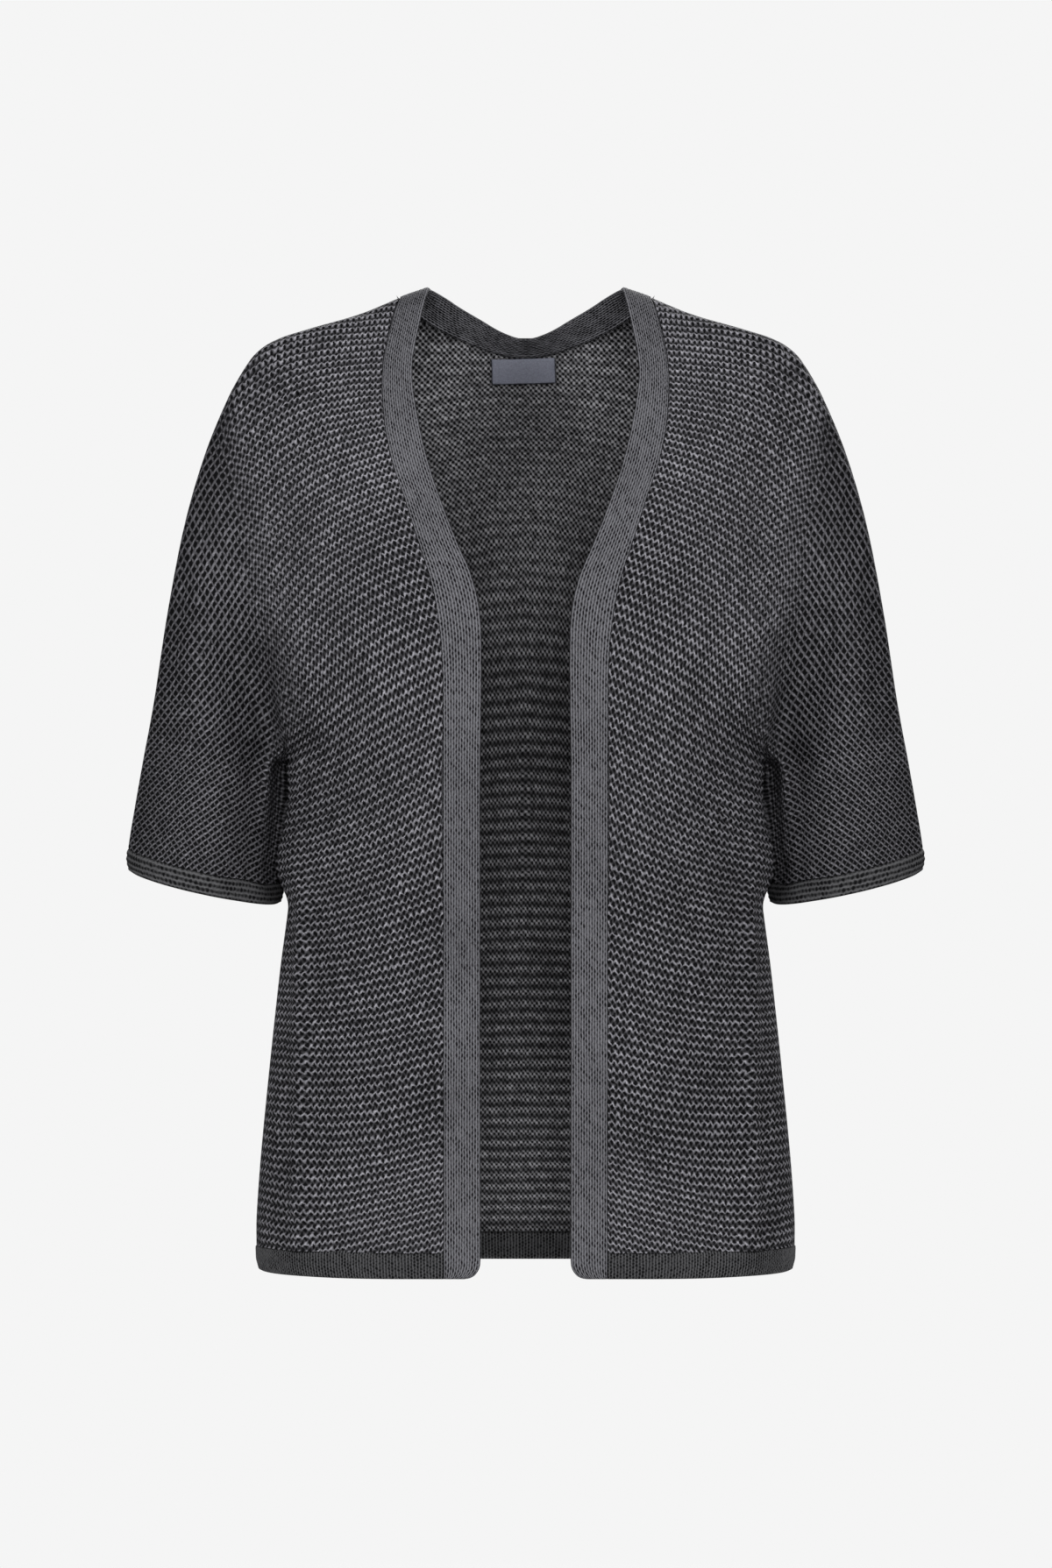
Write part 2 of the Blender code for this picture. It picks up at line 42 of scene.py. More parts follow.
UNDERARM_Z = -337.0
HEM_SEAM_Z = -676.0
HEM_EDGE_Z = -694.0
ARM_DEPTH = 54.0
ARM_ROUNDING = 54.0
SIDE_ROUNDING = 105.0
SHOULDER_FALL = 155.0
SLEEVE_FROM_X = 150.0
SLEEVE_BLEND = 50.0
UNDERARM_BLEND = 60.0
NECK_ROUNDING = 62.0
ARM_FORWARD = 10.0
FORWARD_FROM_X = 150.0
FORWARD_WIDTH = 110.0
FORWARD_FROM_Z = -60.0
FORWARD_HEIGHT = 330.0
CUFF_LEAN = 0.09
CUFF_LEAN_HEIGHT = 75.0
FOLD_FADE = 26.0
SEAM_SLACK = 0.08  # a panel's edge may cut this far inside its seam
SURFACE_OUT = 1.65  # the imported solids' outer face stands this far off the seams' plane
SURFACE_TURN = 4.0  # and comes down to it this close to the seams

Knot = namedtuple("Knot", "x z")
Depth = namedtuple("Depth", "z front back")
Fold = namedtuple("Fold", "x1 z1 x2 z2 x3 z3 height width")
Lay = namedtuple("Lay", "x z fall lean row stitch")
Lamp = namedtuple("Lamp", "name place width height power aim_z")
Panel = namedtuple("Panel", "body_columns sleeve_columns upper_rows body_rows sleeve_rows")


def table(kind, *rows):
    """The rows of a table, each with the named columns of its kind."""
    return [kind(*row) for row in rows]


SHOULDER_LINE = table(
    Knot,
    (68, 0), (89, -7.4), (117.5, -19), (152, -29), (175, -36.5), (190, -46),
)
ARM_LINE = table(
    Knot,
    (201, -61), (212, -81.8), (227, -119), (241.2, -168.6), (253, -230.6), (262.3, -292.6),
    (270.4, -337), (277.8, -379.4), (280.3, -395.6),
)
SIDE_SEAM = table(
    Knot,
    (158.5, UNDERARM_Z), (156.2, -351), (156, -367), (159.5, -384), (164, -401), (166.5, -420),
    (168, -440), (173, -478), (177.5, -518), (182.5, -566), (187.2, -615), (190, -655),
    (190.2, HEM_SEAM_Z),
)
HEM_SIDE = table(Knot, (190.2, HEM_SEAM_Z), (189.8, -686), (187.7, HEM_EDGE_Z))
INNER_SLEEVE_SEAM = table(
    Knot,
    (162.5, UNDERARM_Z), (163.5, -353), (165, -377), (168, -400), (171, -420.4),
)
CUFF_OUTER = table(Knot, (280.4, -395.8), (281.2, -404.5), (279.6, -411.5))
CUFF_INNER = table(Knot, (171, -420.6), (171.6, -428.5), (173.4, -435))
BAND_SEAM = table(
    Knot,
    (89, -7.4), (94, -25), (100, -60), (98.6, -97), (92.6, -127.6), (84, -153), (74.3, -184),
    (66.2, -209), (60.6, -236), (57.6, -272), (57, UNDERARM_Z),
)
BAND_EDGE = table(
    Knot,
    (68, 0), (73, -22), (79, -59), (76, -90), (67.6, -127), (57.6, -157), (46.8, -184.5),
    (37.4, -206.5), (31.6, -231), (30.2, -264), (31.2, UNDERARM_Z),
)
BAND_CORNER = table(
    Knot,
    (31.2, -681), (31.6, -685), (33, -688.6), (35.6, -691.7), (38.6, -693.3), (42.5, HEM_EDGE_Z),
)
NECK_SEAM = table(
    Knot,
    (89, -7.4), (76, -16), (60, -25.5), (42, -34), (22, -41.2), (8, -44.2), (0, -44.5),
)
NECK_EDGE = table(
    Knot,
    (68, 0), (58, -4.6), (46, -11.6), (33, -18.6), (19, -26.4), (7, -31), (0, -31.5),
)
BODY_DEPTHS = table(
    Depth,
    (0, 107, 92),
    (-80, 109, 97),
    (-160, 113, 103),
    (-250, 116, 104),
    (-340, 113, 101),
    (-450, 107.5, 97),
    (-570, 105, 98),
    (-694, 106, 103),
)
FRONT_FOLDS = table(
    Fold,
    (66, -392, 103, -470, 165, -541, 8, 26),
    (80, -452, 103, -505, 148, -552, -7.5, 20),
    (62, -532, 106, -612, 176, -661, 8, 26),
    (66, -580, 93, -630, 128, -672, -7, 20),
    (160, -256, 152, -292, 146, -330, 7, 19),
    (194, -262, 182, -300, 172, -336, -6, 18),
    (122, -290, 126, -320, 134, -352, -4, 19),
    (212, -240, 203, -322, 184, -404, -8, 17),
    (232, -225, 229, -300, 220, -392, 3.5, 20),
    (186, -338, 189, -372, 195, -415, -7, 15),
)
BACK_FOLDS = table(
    Fold,
    (30, -470, 70, -540, 150, -590, 4.5, 28),
    (60, -395, 100, -440, 158, -468, -5, 24),
    (20, -560, 60, -620, 120, -668, -4, 26),
    (162, -250, 153, -292, 147, -332, 7, 19),
    (194, -258, 182, -298, 172, -336, -6, 18),
    (112, -205, 118, -260, 132, -322, -4.5, 20),
    (214, -246, 206, -325, 194, -398, -4.5, 18),
)
FOLDS = {"front": FRONT_FOLDS, "back": BACK_FOLDS}

# The crease between the body and the sleeve, and how far the body laps over it.
CREASE = table(Knot, (179, -268), (169, -303), (160.5, UNDERARM_Z), (160.5, -450))
CREASE_DEPTH = 13.0
CREASE_LAP = 5.0
LAP = 13.0
LAP_DEPTH = 22.0
LAP_HEAD = -292.0
LAP_FOOT = -405.0

# The lay of the knit at some places, as it looks from the front: the angle by which a row drops
# outwards, the angle by which a column of stitches leans outwards as it climbs, the height of a row
# and the width of a stitch.
SLEEVE_LAY = table(
    Lay,
    (198, -76, 42, 13, 4.8, 4.1),
    (223, -119, 44, 30, 4, 4.4),
    (229, -169, 46, 40, 3.3, 4.7),
    (186, -193, 56, 21, 5.1, 2.9),
    (207, -181, 66, 27, 3.9, 3.5),
    (238, -231, 57, 58, 3.3, 6.2),
    (217, -224, 52, 36, 3.8, 3.7),
    (195, -231, 70, 27, 4.1, 3.2),
    (186, -268, 74, 40, 5.2, 3.7),
    (217, -268, 46, 28, 4.4, 3.5),
    (245, -286, 57, 56, 3.4, 6),
    (223, -305, 42, 28, 4.1, 3.5),
    (198, -317, 38, 20, 4.1, 3.1),
    (236, -355, 45, 26, 3.2, 3.4),
    (204, -379, 33, 30, 3.7, 2.9),
)
FRONT_LAY = SLEEVE_LAY + table(
    Lay,
    (111, -51, 1, -6, 4.9, 3.5),
    (161, -57, 5, -3, 5.2, 4.1),
    (111, -144, 20, 14, 5.4, 3.8),
    (148, -169, 35, 14, 5.4, 3.2),
    (186, -144, 44, 20, 5.7, 3.3),
    (99, -200, 14, 22, 6.5, 4.5),
    (136, -206, 44, 16, 5.4, 3.2),
    (148, -231, 51, 22, 5.4, 3.3),
    (167, -255, 56, 34, 5.3, 3.6),
    (99, -268, 26, 8, 6.5, 3.9),
    (124, -290, 29, 6, 6.4, 3.7),
    (93, -355, 32, 5, 5.7, 3.9),
    (130, -379, 22, 6, 5.6, 4.2),
    (142, -429, 4, 5, 5.5, 4.3),
    (86, -454, 20, 6, 6, 4.4),
    (124, -510, 11, 5, 5.7, 4.4),
    (161, -541, -7, 0, 5.8, 4.3),
    (86, -553, 15, 5, 5.9, 4.4),
    (136, -590, 2, 2, 6.3, 4.3),
    (173, -627, -4, 0, 5.8, 4.2),
    (99, -652, 17, 2, 4.9, 3.8),
)
BACK_LAY = SLEEVE_LAY + table(
    Lay,
    (0, -70, 0, 0, 3.7, 3.3),
    (24, -131, 14, 1, 3.8, 3.3),
    (75, -110, 16, 5, 3.9, 3.4),
    (111, -51, 6, 0, 4.5, 3.5),
    (161, -57, 12, 5, 5, 4),
    (18, -231, 10, 0, 3.8, 3.2),
    (80, -200, 16, 5, 3.9, 3.4),
    (140, -170, 32, 16, 4.8, 3.4),
    (186, -144, 44, 20, 5.4, 3.5),
    (145, -255, 44, 22, 4.8, 3.5),
    (18, -355, 4, 0, 3.7, 3.2),
    (80, -340, 12, 3, 3.8, 3.4),
    (130, -380, 12, 5, 4.4, 3.7),
    (60, -470, 5, 0, 3.8, 3.3),
    (145, -480, -4, 0, 4.4, 3.8),
    (12, -541, 3, 0, 3.8, 3.3),
    (90, -580, -3, 0, 4, 3.5),
    (160, -620, -5, 0, 4.4, 3.8),
    (30, -660, 0, 0, 3.7, 3.3),
)
LAY_REACH = 26.0  # each place counts this far round it
TURNED_AWAY = 0.55  # where the cloth turns away from the front, its stitches stretch no further
# Below the underarm, a slit parts the lay of the sleeve from the body's.
SLIT = table(Knot, (160.5, UNDERARM_Z), (166, -400), (170.5, -435), (300, -445))
SLEEVE_APART = 90.0

YARN = 0.95  # the yarn's radius
RIDGE_AT = 0.25  # a ridge's crown, in rows
# Outwards of this line, the ridged knit is stretched open to this share of a plain net.
NET_LINE = table(Knot, (241, 0), (190, -170), (190, -200), (165, -300))
NET_SHARE = 0.8

# How finely each surface is divided. A panel's coarse grid, which the lay is worked out on, has
# one line in COARSE of the fine one.
COARSE = 8
FRONT_GRID = Panel(104, 104, 272, 256, 56)
BACK_GRID = Panel(88, 64, 200, 184, 40)

# The band, the hems and the cuffs.
STRIP_WALL = 3.0
SEAM_DIP = 1.7
BAND_UNDER = 1.06  # the band's width and what goes under the panel's edge, as a share of its width
BAND_COLUMNS = 7.4
CUFF_HEIGHT = 16.5

# The colour of each knit's gaps, painted near black as the shade in the hollows between stitches,
# and of its yarn.
MAIN = (0.0015, 0.0015, 0.002, 1), (0.36, 0.354, 0.388, 1)
BACK = (0.0015, 0.0015, 0.002, 1), (0.41, 0.407, 0.43, 1)
BAND = (0.002, 0.002, 0.003, 1), (0.18, 0.179, 0.195, 1)
# The hems' and cuffs' yarn is painted darker than the band's, as painted shade at the garment's
# lower edges.
TRIM = (0.0015, 0.0015, 0.002, 1), (0.09, 0.09, 0.094, 1)
SATIN = (0.12, 0.128, 0.165, 1), (0.3, 0.31, 0.37, 1)

# The studio, in metres and watts.
FLOOR_Z = -1.03
FLOOR_REACH = 1.25
CAMERA_PLACE = (0.0003, -5.0, -0.3512)
LAMPS = table(
    Lamp,
    ("key_left", (-1.75, -1.75, 0.75), 1.0, 1.0, 43.0, -0.15),
    ("key_right", (1.75, -1.75, 0.75), 1.0, 1.0, 39.0, -0.15),
    ("front_fill", (0.1, -2.9, 0.25), 1.0, 1.0, 38.0, -0.2),
    ("back_fill", (0.3, 2.8, 1.0), 1.8, 1.4, 90.0, -0.35),
)


def smooth_line(line, steps=10):
    """A fine run of points on a Catmull-Rom curve through the line's knots."""
    p = np.array(line, float)
    ends = np.vstack([2 * p[0] - p[1], p, 2 * p[-1] - p[-2]])
    t = np.arange(steps)[:, None] / steps
    spans = []
    for i in range(len(p) - 1):
        a, b, c, d = ends[i : i + 4]
        bend = 2 * a - 5 * b + 4 * c - d
        twist = -a + 3 * b - 3 * c + d
        spans.append(0.5 * (2 * b + (c - a) * t + bend * t**2 + twist * t**3))
    return np.vstack([*spans, p[-1:]])


def summed(steps):
    """The running sum of the steps, from 0."""
    return np.concatenate([[0.0], np.cumsum(steps)])


def lengths(line):
    """How far along the line each of its points is."""
    return summed(np.linalg.norm(np.diff(line, axis=0), axis=1))


def along(line, fractions):
    """The points at these fractions of the line's length."""
    line = np.asarray(line, float)
    far = lengths(line)
    at = np.asarray(fractions, float) * far[-1]
    return np.stack([np.interp(at, far, line[:, k]) for k in range(line.shape[1])], axis=1)


def x_at(line, z):
    """The x of a line, which runs downwards, at each height z."""
    return np.interp(-z, [-knot.z for knot in line], [knot.x for knot in line])


def gap_to(line, x, z):
    """The distance from each point (x, z) to the line."""
    near = np.full(np.shape(x), np.inf)
    for a, b in zip(line[:-1], line[1:]):
        run = b - a
        t = ((x - a[0]) * run[0] + (z - a[1]) * run[1]) / max(run @ run, 1e-9)
        t = np.clip(t, 0, 1)
        near = np.minimum(near, (x - a[0] - t * run[0]) ** 2 + (z - a[1] - t * run[1]) ** 2)
    return np.sqrt(near)


def ease(t):
    """0 to 1, level at both ends."""
    t = np.clip(t, 0, 1)
    return t * t * (3 - 2 * t)


def rounded(t):
    """A quarter circle: 0 at the outline, 1 from t = 1 inwards."""
    return np.sqrt(1 - (1 - np.clip(t, 0, 1)) ** 2)


SHOULDER_AND_ARM = smooth_line(SHOULDER_LINE + ARM_LINE)
SHOULDER_POINTS = (len(SHOULDER_LINE) - 1) * 10 + 1
SHOULDER = SHOULDER_AND_ARM[:SHOULDER_POINTS]
ARM = SHOULDER_AND_ARM[SHOULDER_POINTS - 1 :]
SIDE = smooth_line(SIDE_SEAM)
INNER_SLEEVE = smooth_line(INNER_SLEEVE_SEAM)
OVERARM = np.vstack([SHOULDER_AND_ARM, CUFF_OUTER])
UNDERARM = np.vstack([HEM_SIDE[::-1], SIDE[::-1], INNER_SLEEVE, CUFF_INNER])
UNDERARM_X = (SIDE_SEAM[0].x + INNER_SLEEVE_SEAM[0].x) / 2


def body_share(region, x, z, over):
    """1 where the cloth hangs as the body, 0 where it is sleeve, and between at the shoulder."""
    share = ease(over / SHOULDER_FALL) * (1 - ease((x - SLEEVE_FROM_X) / SLEEVE_BLEND))
    below = ease((UNDERARM_Z - z) / UNDERARM_BLEND)
    if region == "body":
        return share + (1 - share) * below
    return share * (1 - below) if region == "sleeve" else share


def underarm_rounding(region, x, z):
    """How far the round edge reaches in from the underarm seam."""
    if region == "upper":
        turn = np.arctan2(np.maximum(z - UNDERARM_Z, 0), x - UNDERARM_X) / math.pi
        return ARM_ROUNDING + (SIDE_ROUNDING - ARM_ROUNDING) * ease(turn)
    return SIDE_ROUNDING if region == "body" else ARM_ROUNDING


def fold_height(fold, x, z):
    """How far one fold lifts the cloth at (x, z)."""
    t = np.linspace(0, 1, 13)[:, None]
    a, b, c = np.array(fold[:6], float).reshape(3, 2)
    line = a * (1 - t) ** 2 + 2 * b * t * (1 - t) + c * t**2
    return fold.height * np.exp(-((gap_to(line, x, z) / fold.width) ** 2))


def eased_centre(x):
    """x, but level at the centre line, so that the back of the neck is round and not peaked."""
    return x + NECK_ROUNDING / 3 * (1 - np.clip(x / NECK_ROUNDING, 0, 1)) ** 3


def stand_off(side, region, x, z, slack):
    """How far the outer face stands in front of the seams' plane, or behind it, at (x, z).

    Cloth that is within the slack of a seam lies on it.
    """
    over = np.maximum(gap_to(OVERARM, eased_centre(x), z) - slack, 0)
    under = np.maximum(gap_to(UNDERARM, x, z) - slack, 0)
    levels = [-row.z for row in BODY_DEPTHS]
    body = np.interp(-z, levels, [getattr(row, side) for row in BODY_DEPTHS])
    full = ARM_DEPTH + body_share(region, x, z, over) * (body - ARM_DEPTH)
    edge = rounded(over / ARM_ROUNDING) * rounded(under / underarm_rounding(region, x, z))
    lift = sum(fold_height(fold, x, z) for fold in FOLDS[side])
    turned = SURFACE_OUT * rounded(np.minimum(over, under) / SURFACE_TURN)
    return full * edge + turned + lift * ease(over / FOLD_FADE) * ease(under / FOLD_FADE)


def seam_y(x, z):
    """The y of the overarm and underarm seams: the sleeve hangs a little forward."""
    outwards = ease((x - FORWARD_FROM_X) / FORWARD_WIDTH)
    return -ARM_FORWARD * outwards * ease((FORWARD_FROM_Z - z) / FORWARD_HEIGHT)


def placed(side, region, flat, slack=0.0):
    """The outer face over points (x, z) of the front view, as (x, y, z)."""
    x, z = flat[..., 0], flat[..., 1]
    y = seam_y(x, z) + OUTWARDS[side] * stand_off(side, region, x, z, slack)
    if region == "sleeve":
        z = z + CUFF_LEAN * (y - seam_y(x, z)) * ease((UNDERARM_Z - z) / CUFF_LEAN_HEIGHT)
    return np.stack([x, y, z], axis=-1)


def tucked(side, region, flat, points):
    """The cloth beside the underarm: the body's edge laps over the sleeve, above a dark crease.

    The sleeve's inner wall, which the body laps over, moves out with it.
    """
    x, z = flat[..., 0], flat[..., 1]
    inside = x - x_at(CREASE, z)
    ends = ease((CREASE[0].z - z) / 35) * ease(gap_to(UNDERARM, x, z) / 18)
    out = points.copy()
    if region != "body":
        sunk = CREASE_DEPTH * ends * np.exp(-(((inside - 9) / 13) ** 2))
        out[..., 1] -= OUTWARDS[side] * sunk
    if region != "sleeve":
        out[..., 0] += CREASE_LAP * ends * np.exp(-(((inside + 5) / 7) ** 2))
    off = abs(points[..., 1] - seam_y(x, z)) / LAP_DEPTH
    level = ease((LAP_HEAD - z) / 55) * (1 - ease((LAP_FOOT - z) / 36))
    share = 1 if region == "body" else 1 - ease((x - 165) / 40)
    out[..., 0] += LAP * level * off * np.exp(1 - off) * share
    return out


def toward_end(n):
    """n + 1 fractions, closer together towards 1."""
    return np.sin(np.linspace(0, math.pi / 2, n + 1))


def toward_both(n):
    """n + 1 fractions, closer together at both ends."""
    return (1 - np.cos(np.linspace(0, math.pi, n + 1))) / 2


def down_from_shoulder(n, height):
    """n + 1 fractions of a height, closer where the cloth comes over the shoulder."""
    over = ARM_ROUNDING * math.pi / 2
    s = np.linspace(0, over + height - ARM_ROUNDING, n + 1)
    turned = ARM_ROUNDING * (1 - np.cos(np.minimum(s, over) / ARM_ROUNDING))
    return (turned + np.maximum(s - over, 0)) / height


def reaching(line, before, fractions):
    """The points at these fractions of the line's length, and on the line before it under 0."""
    early = along(before, 1 + np.minimum(fractions, 0) * lengths(line)[-1] / lengths(before)[-1])
    return np.where((fractions < 0)[:, None], early, along(line, np.clip(fractions, 0, 1)))


def between(a, b, fractions):
    """Points on the straight line from a to b."""
    return np.array(a) + np.asarray(fractions)[:, None] * (np.array(b) - np.array(a))


def straight_down(x, heights):
    """Points at these heights, all at one x."""
    return np.stack([np.full(len(heights), x), heights], axis=1)


def steps_across(grid):
    """The mean step between each two columns of a grid."""
    return np.linalg.norm(np.diff(grid, axis=1), axis=2).mean(0)


def blended(top, bottom, left, right, across, down):
    """A grid of points inside four sides: rows run from left to right (a Coons patch)."""
    u, v = np.asarray(across)[None, :, None], np.asarray(down)[:, None, None]
    sides = (1 - v) * top[None] + v * bottom[None] + (1 - u) * left[:, None] + u * right[:, None]
    ends = (1 - u) * (1 - v) * top[0] + u * (1 - v) * top[-1]
    ends = ends + (1 - u) * v * bottom[0] + u * v * bottom[-1]
    return sides - ends


def spanned(left, right, columns):
    """A grid whose rows are straight from the left points to the right points."""
    return np.array([between(a, b, columns) for a, b in zip(left, right)])


def panel_grids(side, size):
    """The front-view grids of a front, or of half the back: upper, body and sleeve."""
    body, sleeve = toward_end(size.body_columns), toward_both(size.sleeve_columns)
    far = lengths(SHOULDER)
    start = np.interp(BAND_SEAM[0].x, SHOULDER[:, 0], far) / far[-1]
    edge = along(SHOULDER, np.linspace(start, 1, SHOULDER_POINTS))
    if side == "front":
        inner = smooth_line(BAND_SEAM)
        middle, gap = 0.5, 0.02
    else:
        neck = smooth_line(NECK_SEAM)[::-1]
        inner = between(neck[0], (0.0, UNDERARM_Z), np.linspace(0, 1, 30))
        edge = np.vstack([neck, edge[1:]])
        to_shoulder = lengths(neck)[-1] / lengths(edge)[-1]
        middle, gap = to_shoulder + 0.5 * (1 - to_shoulder), 0.01
    sleeve_part = middle + gap + (1 - middle - gap) * sleeve
    top = along(edge, np.concatenate([middle * body, sleeve_part]))
    at_underarm = np.argmin(abs(ARM[:, 1] - UNDERARM_Z))
    body_bottom = between(inner[-1], SIDE[0], body)
    bottom = np.vstack([body_bottom, between(INNER_SLEEVE[0], ARM[at_underarm], sleeve)])
    across = (lengths(bottom) / lengths(bottom)[-1] + lengths(top) / lengths(top)[-1]) / 2
    down = down_from_shoulder(size.upper_rows, inner[0][1] - UNDERARM_Z)
    left, right = along(inner, down), along(ARM[: at_underarm + 1], down)
    down_body = np.linspace(0, 1, size.body_rows + 1)
    down_arm = np.linspace(0, 1, size.sleeve_rows + 1)
    inner_edge = between(inner[-1], (inner[-1][0], HEM_SEAM_Z), down_body)
    lower_arm = along(ARM[at_underarm:], down_arm)
    return {
        "upper": blended(top, bottom, left, right, across, down),
        "body": spanned(inner_edge, along(SIDE, down_body), body),
        "sleeve": spanned(along(INNER_SLEEVE, down_arm), lower_arm, sleeve),
    }


def numbered(size):
    """The vertex numbers of a panel's three grids, with the lines that they share numbered once."""
    body_columns, sleeve_columns = size.body_columns + 1, size.sleeve_columns + 1
    columns = body_columns + sleeve_columns
    upper = np.arange((size.upper_rows + 1) * columns).reshape(-1, columns)
    body = upper.size + np.arange(size.body_rows * body_columns).reshape(-1, body_columns)
    sleeve = np.arange(size.sleeve_rows * sleeve_columns).reshape(-1, sleeve_columns)
    sleeve += upper.size + body.size
    return {
        "upper": upper,
        "body": np.vstack([upper[-1:, :body_columns], body]),
        "sleeve": np.vstack([upper[-1:, body_columns:], sleeve]),
    }


def gathered(ids, grids):
    """One array of a panel's vertices from its three grids."""
    count = max(grid.max() for grid in ids.values()) + 1
    first = next(iter(grids.values()))
    out = np.zeros((count, *first.shape[2:]))
    for region in ids:
        out[ids[region]] = grids[region]
    return out


def grid_normals(points, outwards):
    """Unit normals of a grid, on the side that `outwards` gives for its middle."""
    n = np.cross(np.gradient(points, axis=0), np.gradient(points, axis=1))
    n /= np.maximum(np.linalg.norm(n, axis=-1), 1e-9)[..., None]
    return n if n[n.shape[0] // 2, n.shape[1] // 2] @ outwards > 0 else -n


def in_sleeve(x, z):
    """1 in the sleeve below the underarm, 0 in the body beside it."""
    return ease((x - x_at(SLIT, z)) / 6 + 0.5) * ease((-300.0 - z) / 50.0)


def spread(x, z):
    """x, but with the sleeve set apart from the body below the underarm."""
    return x + SLEEVE_APART * in_sleeve(x, z)


def lay_at(side, x, z):
    """The lay's slope and sizes at (x, z): fall, lean, row, stitch."""
    places = np.array(FRONT_LAY if side == "front" else BACK_LAY, float)
    near = spread(x, z)[..., None] - spread(places[:, 0], places[:, 1])
    near = np.exp(-(near**2 + (z[..., None] - places[:, 1]) ** 2) / (2 * LAY_REACH**2)) + 1e-9
    near /= near.sum(-1, keepdims=True)
    fall, lean, row, stitch = (near @ places[:, 2 + k] for k in range(4))
    # The rows run level over the centre line.
    level = ease(x / 34)
    return fall * level, lean * level, row, stitch


def on_surface(n, gx, gz, size):
    """A step count's gradient in the front view, laid on a surface with normals n."""
    wanted = np.stack([gx, 0 * gx, gz], axis=-1)
    laid = wanted - (wanted * n).sum(-1, keepdims=True) * n
    steep = np.linalg.norm(laid, axis=-1)
    laid *= np.maximum(1, TURNED_AWAY / np.maximum(steep, 0.05))[..., None]
    return laid / size[..., None]


def solved(count, edges, wanted, held=()):
    """The values at `count` points whose steps along the edges come nearest to those wanted."""
    a, b, weight = edges
    fixed = np.zeros(count)
    fixed[list(held)] = 1e3

    def pull(step):
        return np.bincount(b, step * weight, count) - np.bincount(a, step * weight, count)

    scale = 1 / (np.bincount(a, weight, count) + np.bincount(b, weight, count) + fixed)
    v = np.zeros(count)
    left = pull(wanted)
    toward = scale * left
    size = left @ toward
    way = toward.copy()
    for _ in range(1500):
        pulled = pull(way[b] - way[a]) + fixed * way
        reach = size / (way @ pulled)
        v += reach * way
        left -= reach * pulled
        toward = scale * left
        new = left @ toward
        if new < 1e-10:
            break
        way = toward + new / size * way
        size = new
    return v


def finer(values, k):
    """Values of a grid at k times as many lines, in straight steps."""
    rows = np.arange(values.shape[0] * k - k + 1) / k
    columns = np.arange(values.shape[1] * k - k + 1) / k
    lines = np.arange(values.shape[0])
    down = np.stack([np.interp(rows, lines, column) for column in values.T], axis=1)
    lines = np.arange(values.shape[1])
    return np.stack([np.interp(columns, lines, row) for row in down])


def lay_fields(side, points, flats, size):
    """The lay of a panel: its stitches along and its rows up at each point, by region."""
    # The body's and the sleeve's columns are both a whole number of coarse ones, with the narrow
    # column between them kept as it is.
    coarse, flat = {}, {}
    for region, grid in points.items():
        rows = np.arange(0, grid.shape[0], COARSE)
        columns = np.arange(0, grid.shape[1], COARSE)
        if region == "upper":
            split = size.body_columns + 1
            sleeve = np.arange(split, grid.shape[1], COARSE)
            columns = np.concatenate([columns[columns < split], sleeve])
        pick = np.ix_(rows, columns)
        coarse[region], flat[region] = grid[pick], flats[region][pick]
    size = Panel(*(count // COARSE for count in size))
    ids = numbered(size)
    count = max(grid.max() for grid in ids.values()) + 1
    starts, ends, rises, runs, weights = [], [], [], [], []
    for region, p in coarse.items():
        n = grid_normals(p, (0, OUTWARDS[side], 0))
        fall, lean, row, stitch = lay_at(side, flat[region][..., 0], flat[region][..., 1])
        fall, lean = np.radians(fall), np.radians(lean)
        for_row = on_surface(n, np.sin(fall), np.cos(fall), row)
        for_stitch = on_surface(n, np.cos(lean), -np.sin(lean), stitch)
        weight = np.clip(abs(n[..., 1]), 0.2, 1)
        i = ids[region]
        for cut_a, cut_b in (
            (np.s_[:, :-1], np.s_[:, 1:]),
            (np.s_[:-1, :], np.s_[1:, :]),
            (np.s_[:-1, :-1], np.s_[1:, 1:]),
            (np.s_[:-1, 1:], np.s_[1:, :-1]),
        ):
            step = p[cut_b] - p[cut_a]
            rises.append((step * (for_row[cut_a] + for_row[cut_b]) / 2).sum(-1).ravel())
            runs.append((step * (for_stitch[cut_a] + for_stitch[cut_b]) / 2).sum(-1).ravel())
            weights.append(((weight[cut_a] * weight[cut_b]) / ((step**2).sum(-1) + 4.0)).ravel())
            starts.append(i[cut_a].ravel())
            ends.append(i[cut_b].ravel())
    edges = np.concatenate(starts), np.concatenate(ends), np.concatenate(weights)
    rows_up = solved(count, edges, np.concatenate(rises))
    centre = ()
    if side == "back":
        centre = np.concatenate([ids["upper"][:, 0], ids["body"][:, 0]])
    stitches = solved(count, edges, np.concatenate(runs), centre)
    out = {}
    for region, i in ids.items():
        splits = [size.body_columns + 1] if region == "upper" else []
        pair = []
        for field in (stitches, rows_up):
            halves = np.split(field[i], splits, axis=1)
            pair.append(np.hstack([finer(half, COARSE) for half in halves]))
        out[region] = np.stack(pair, axis=-1)
    return out


def linked(name, data):
    """A new object in the scene."""
    made = bpy.data.objects.new(name, data)
    bpy.context.scene.collection.objects.link(made)
    return made


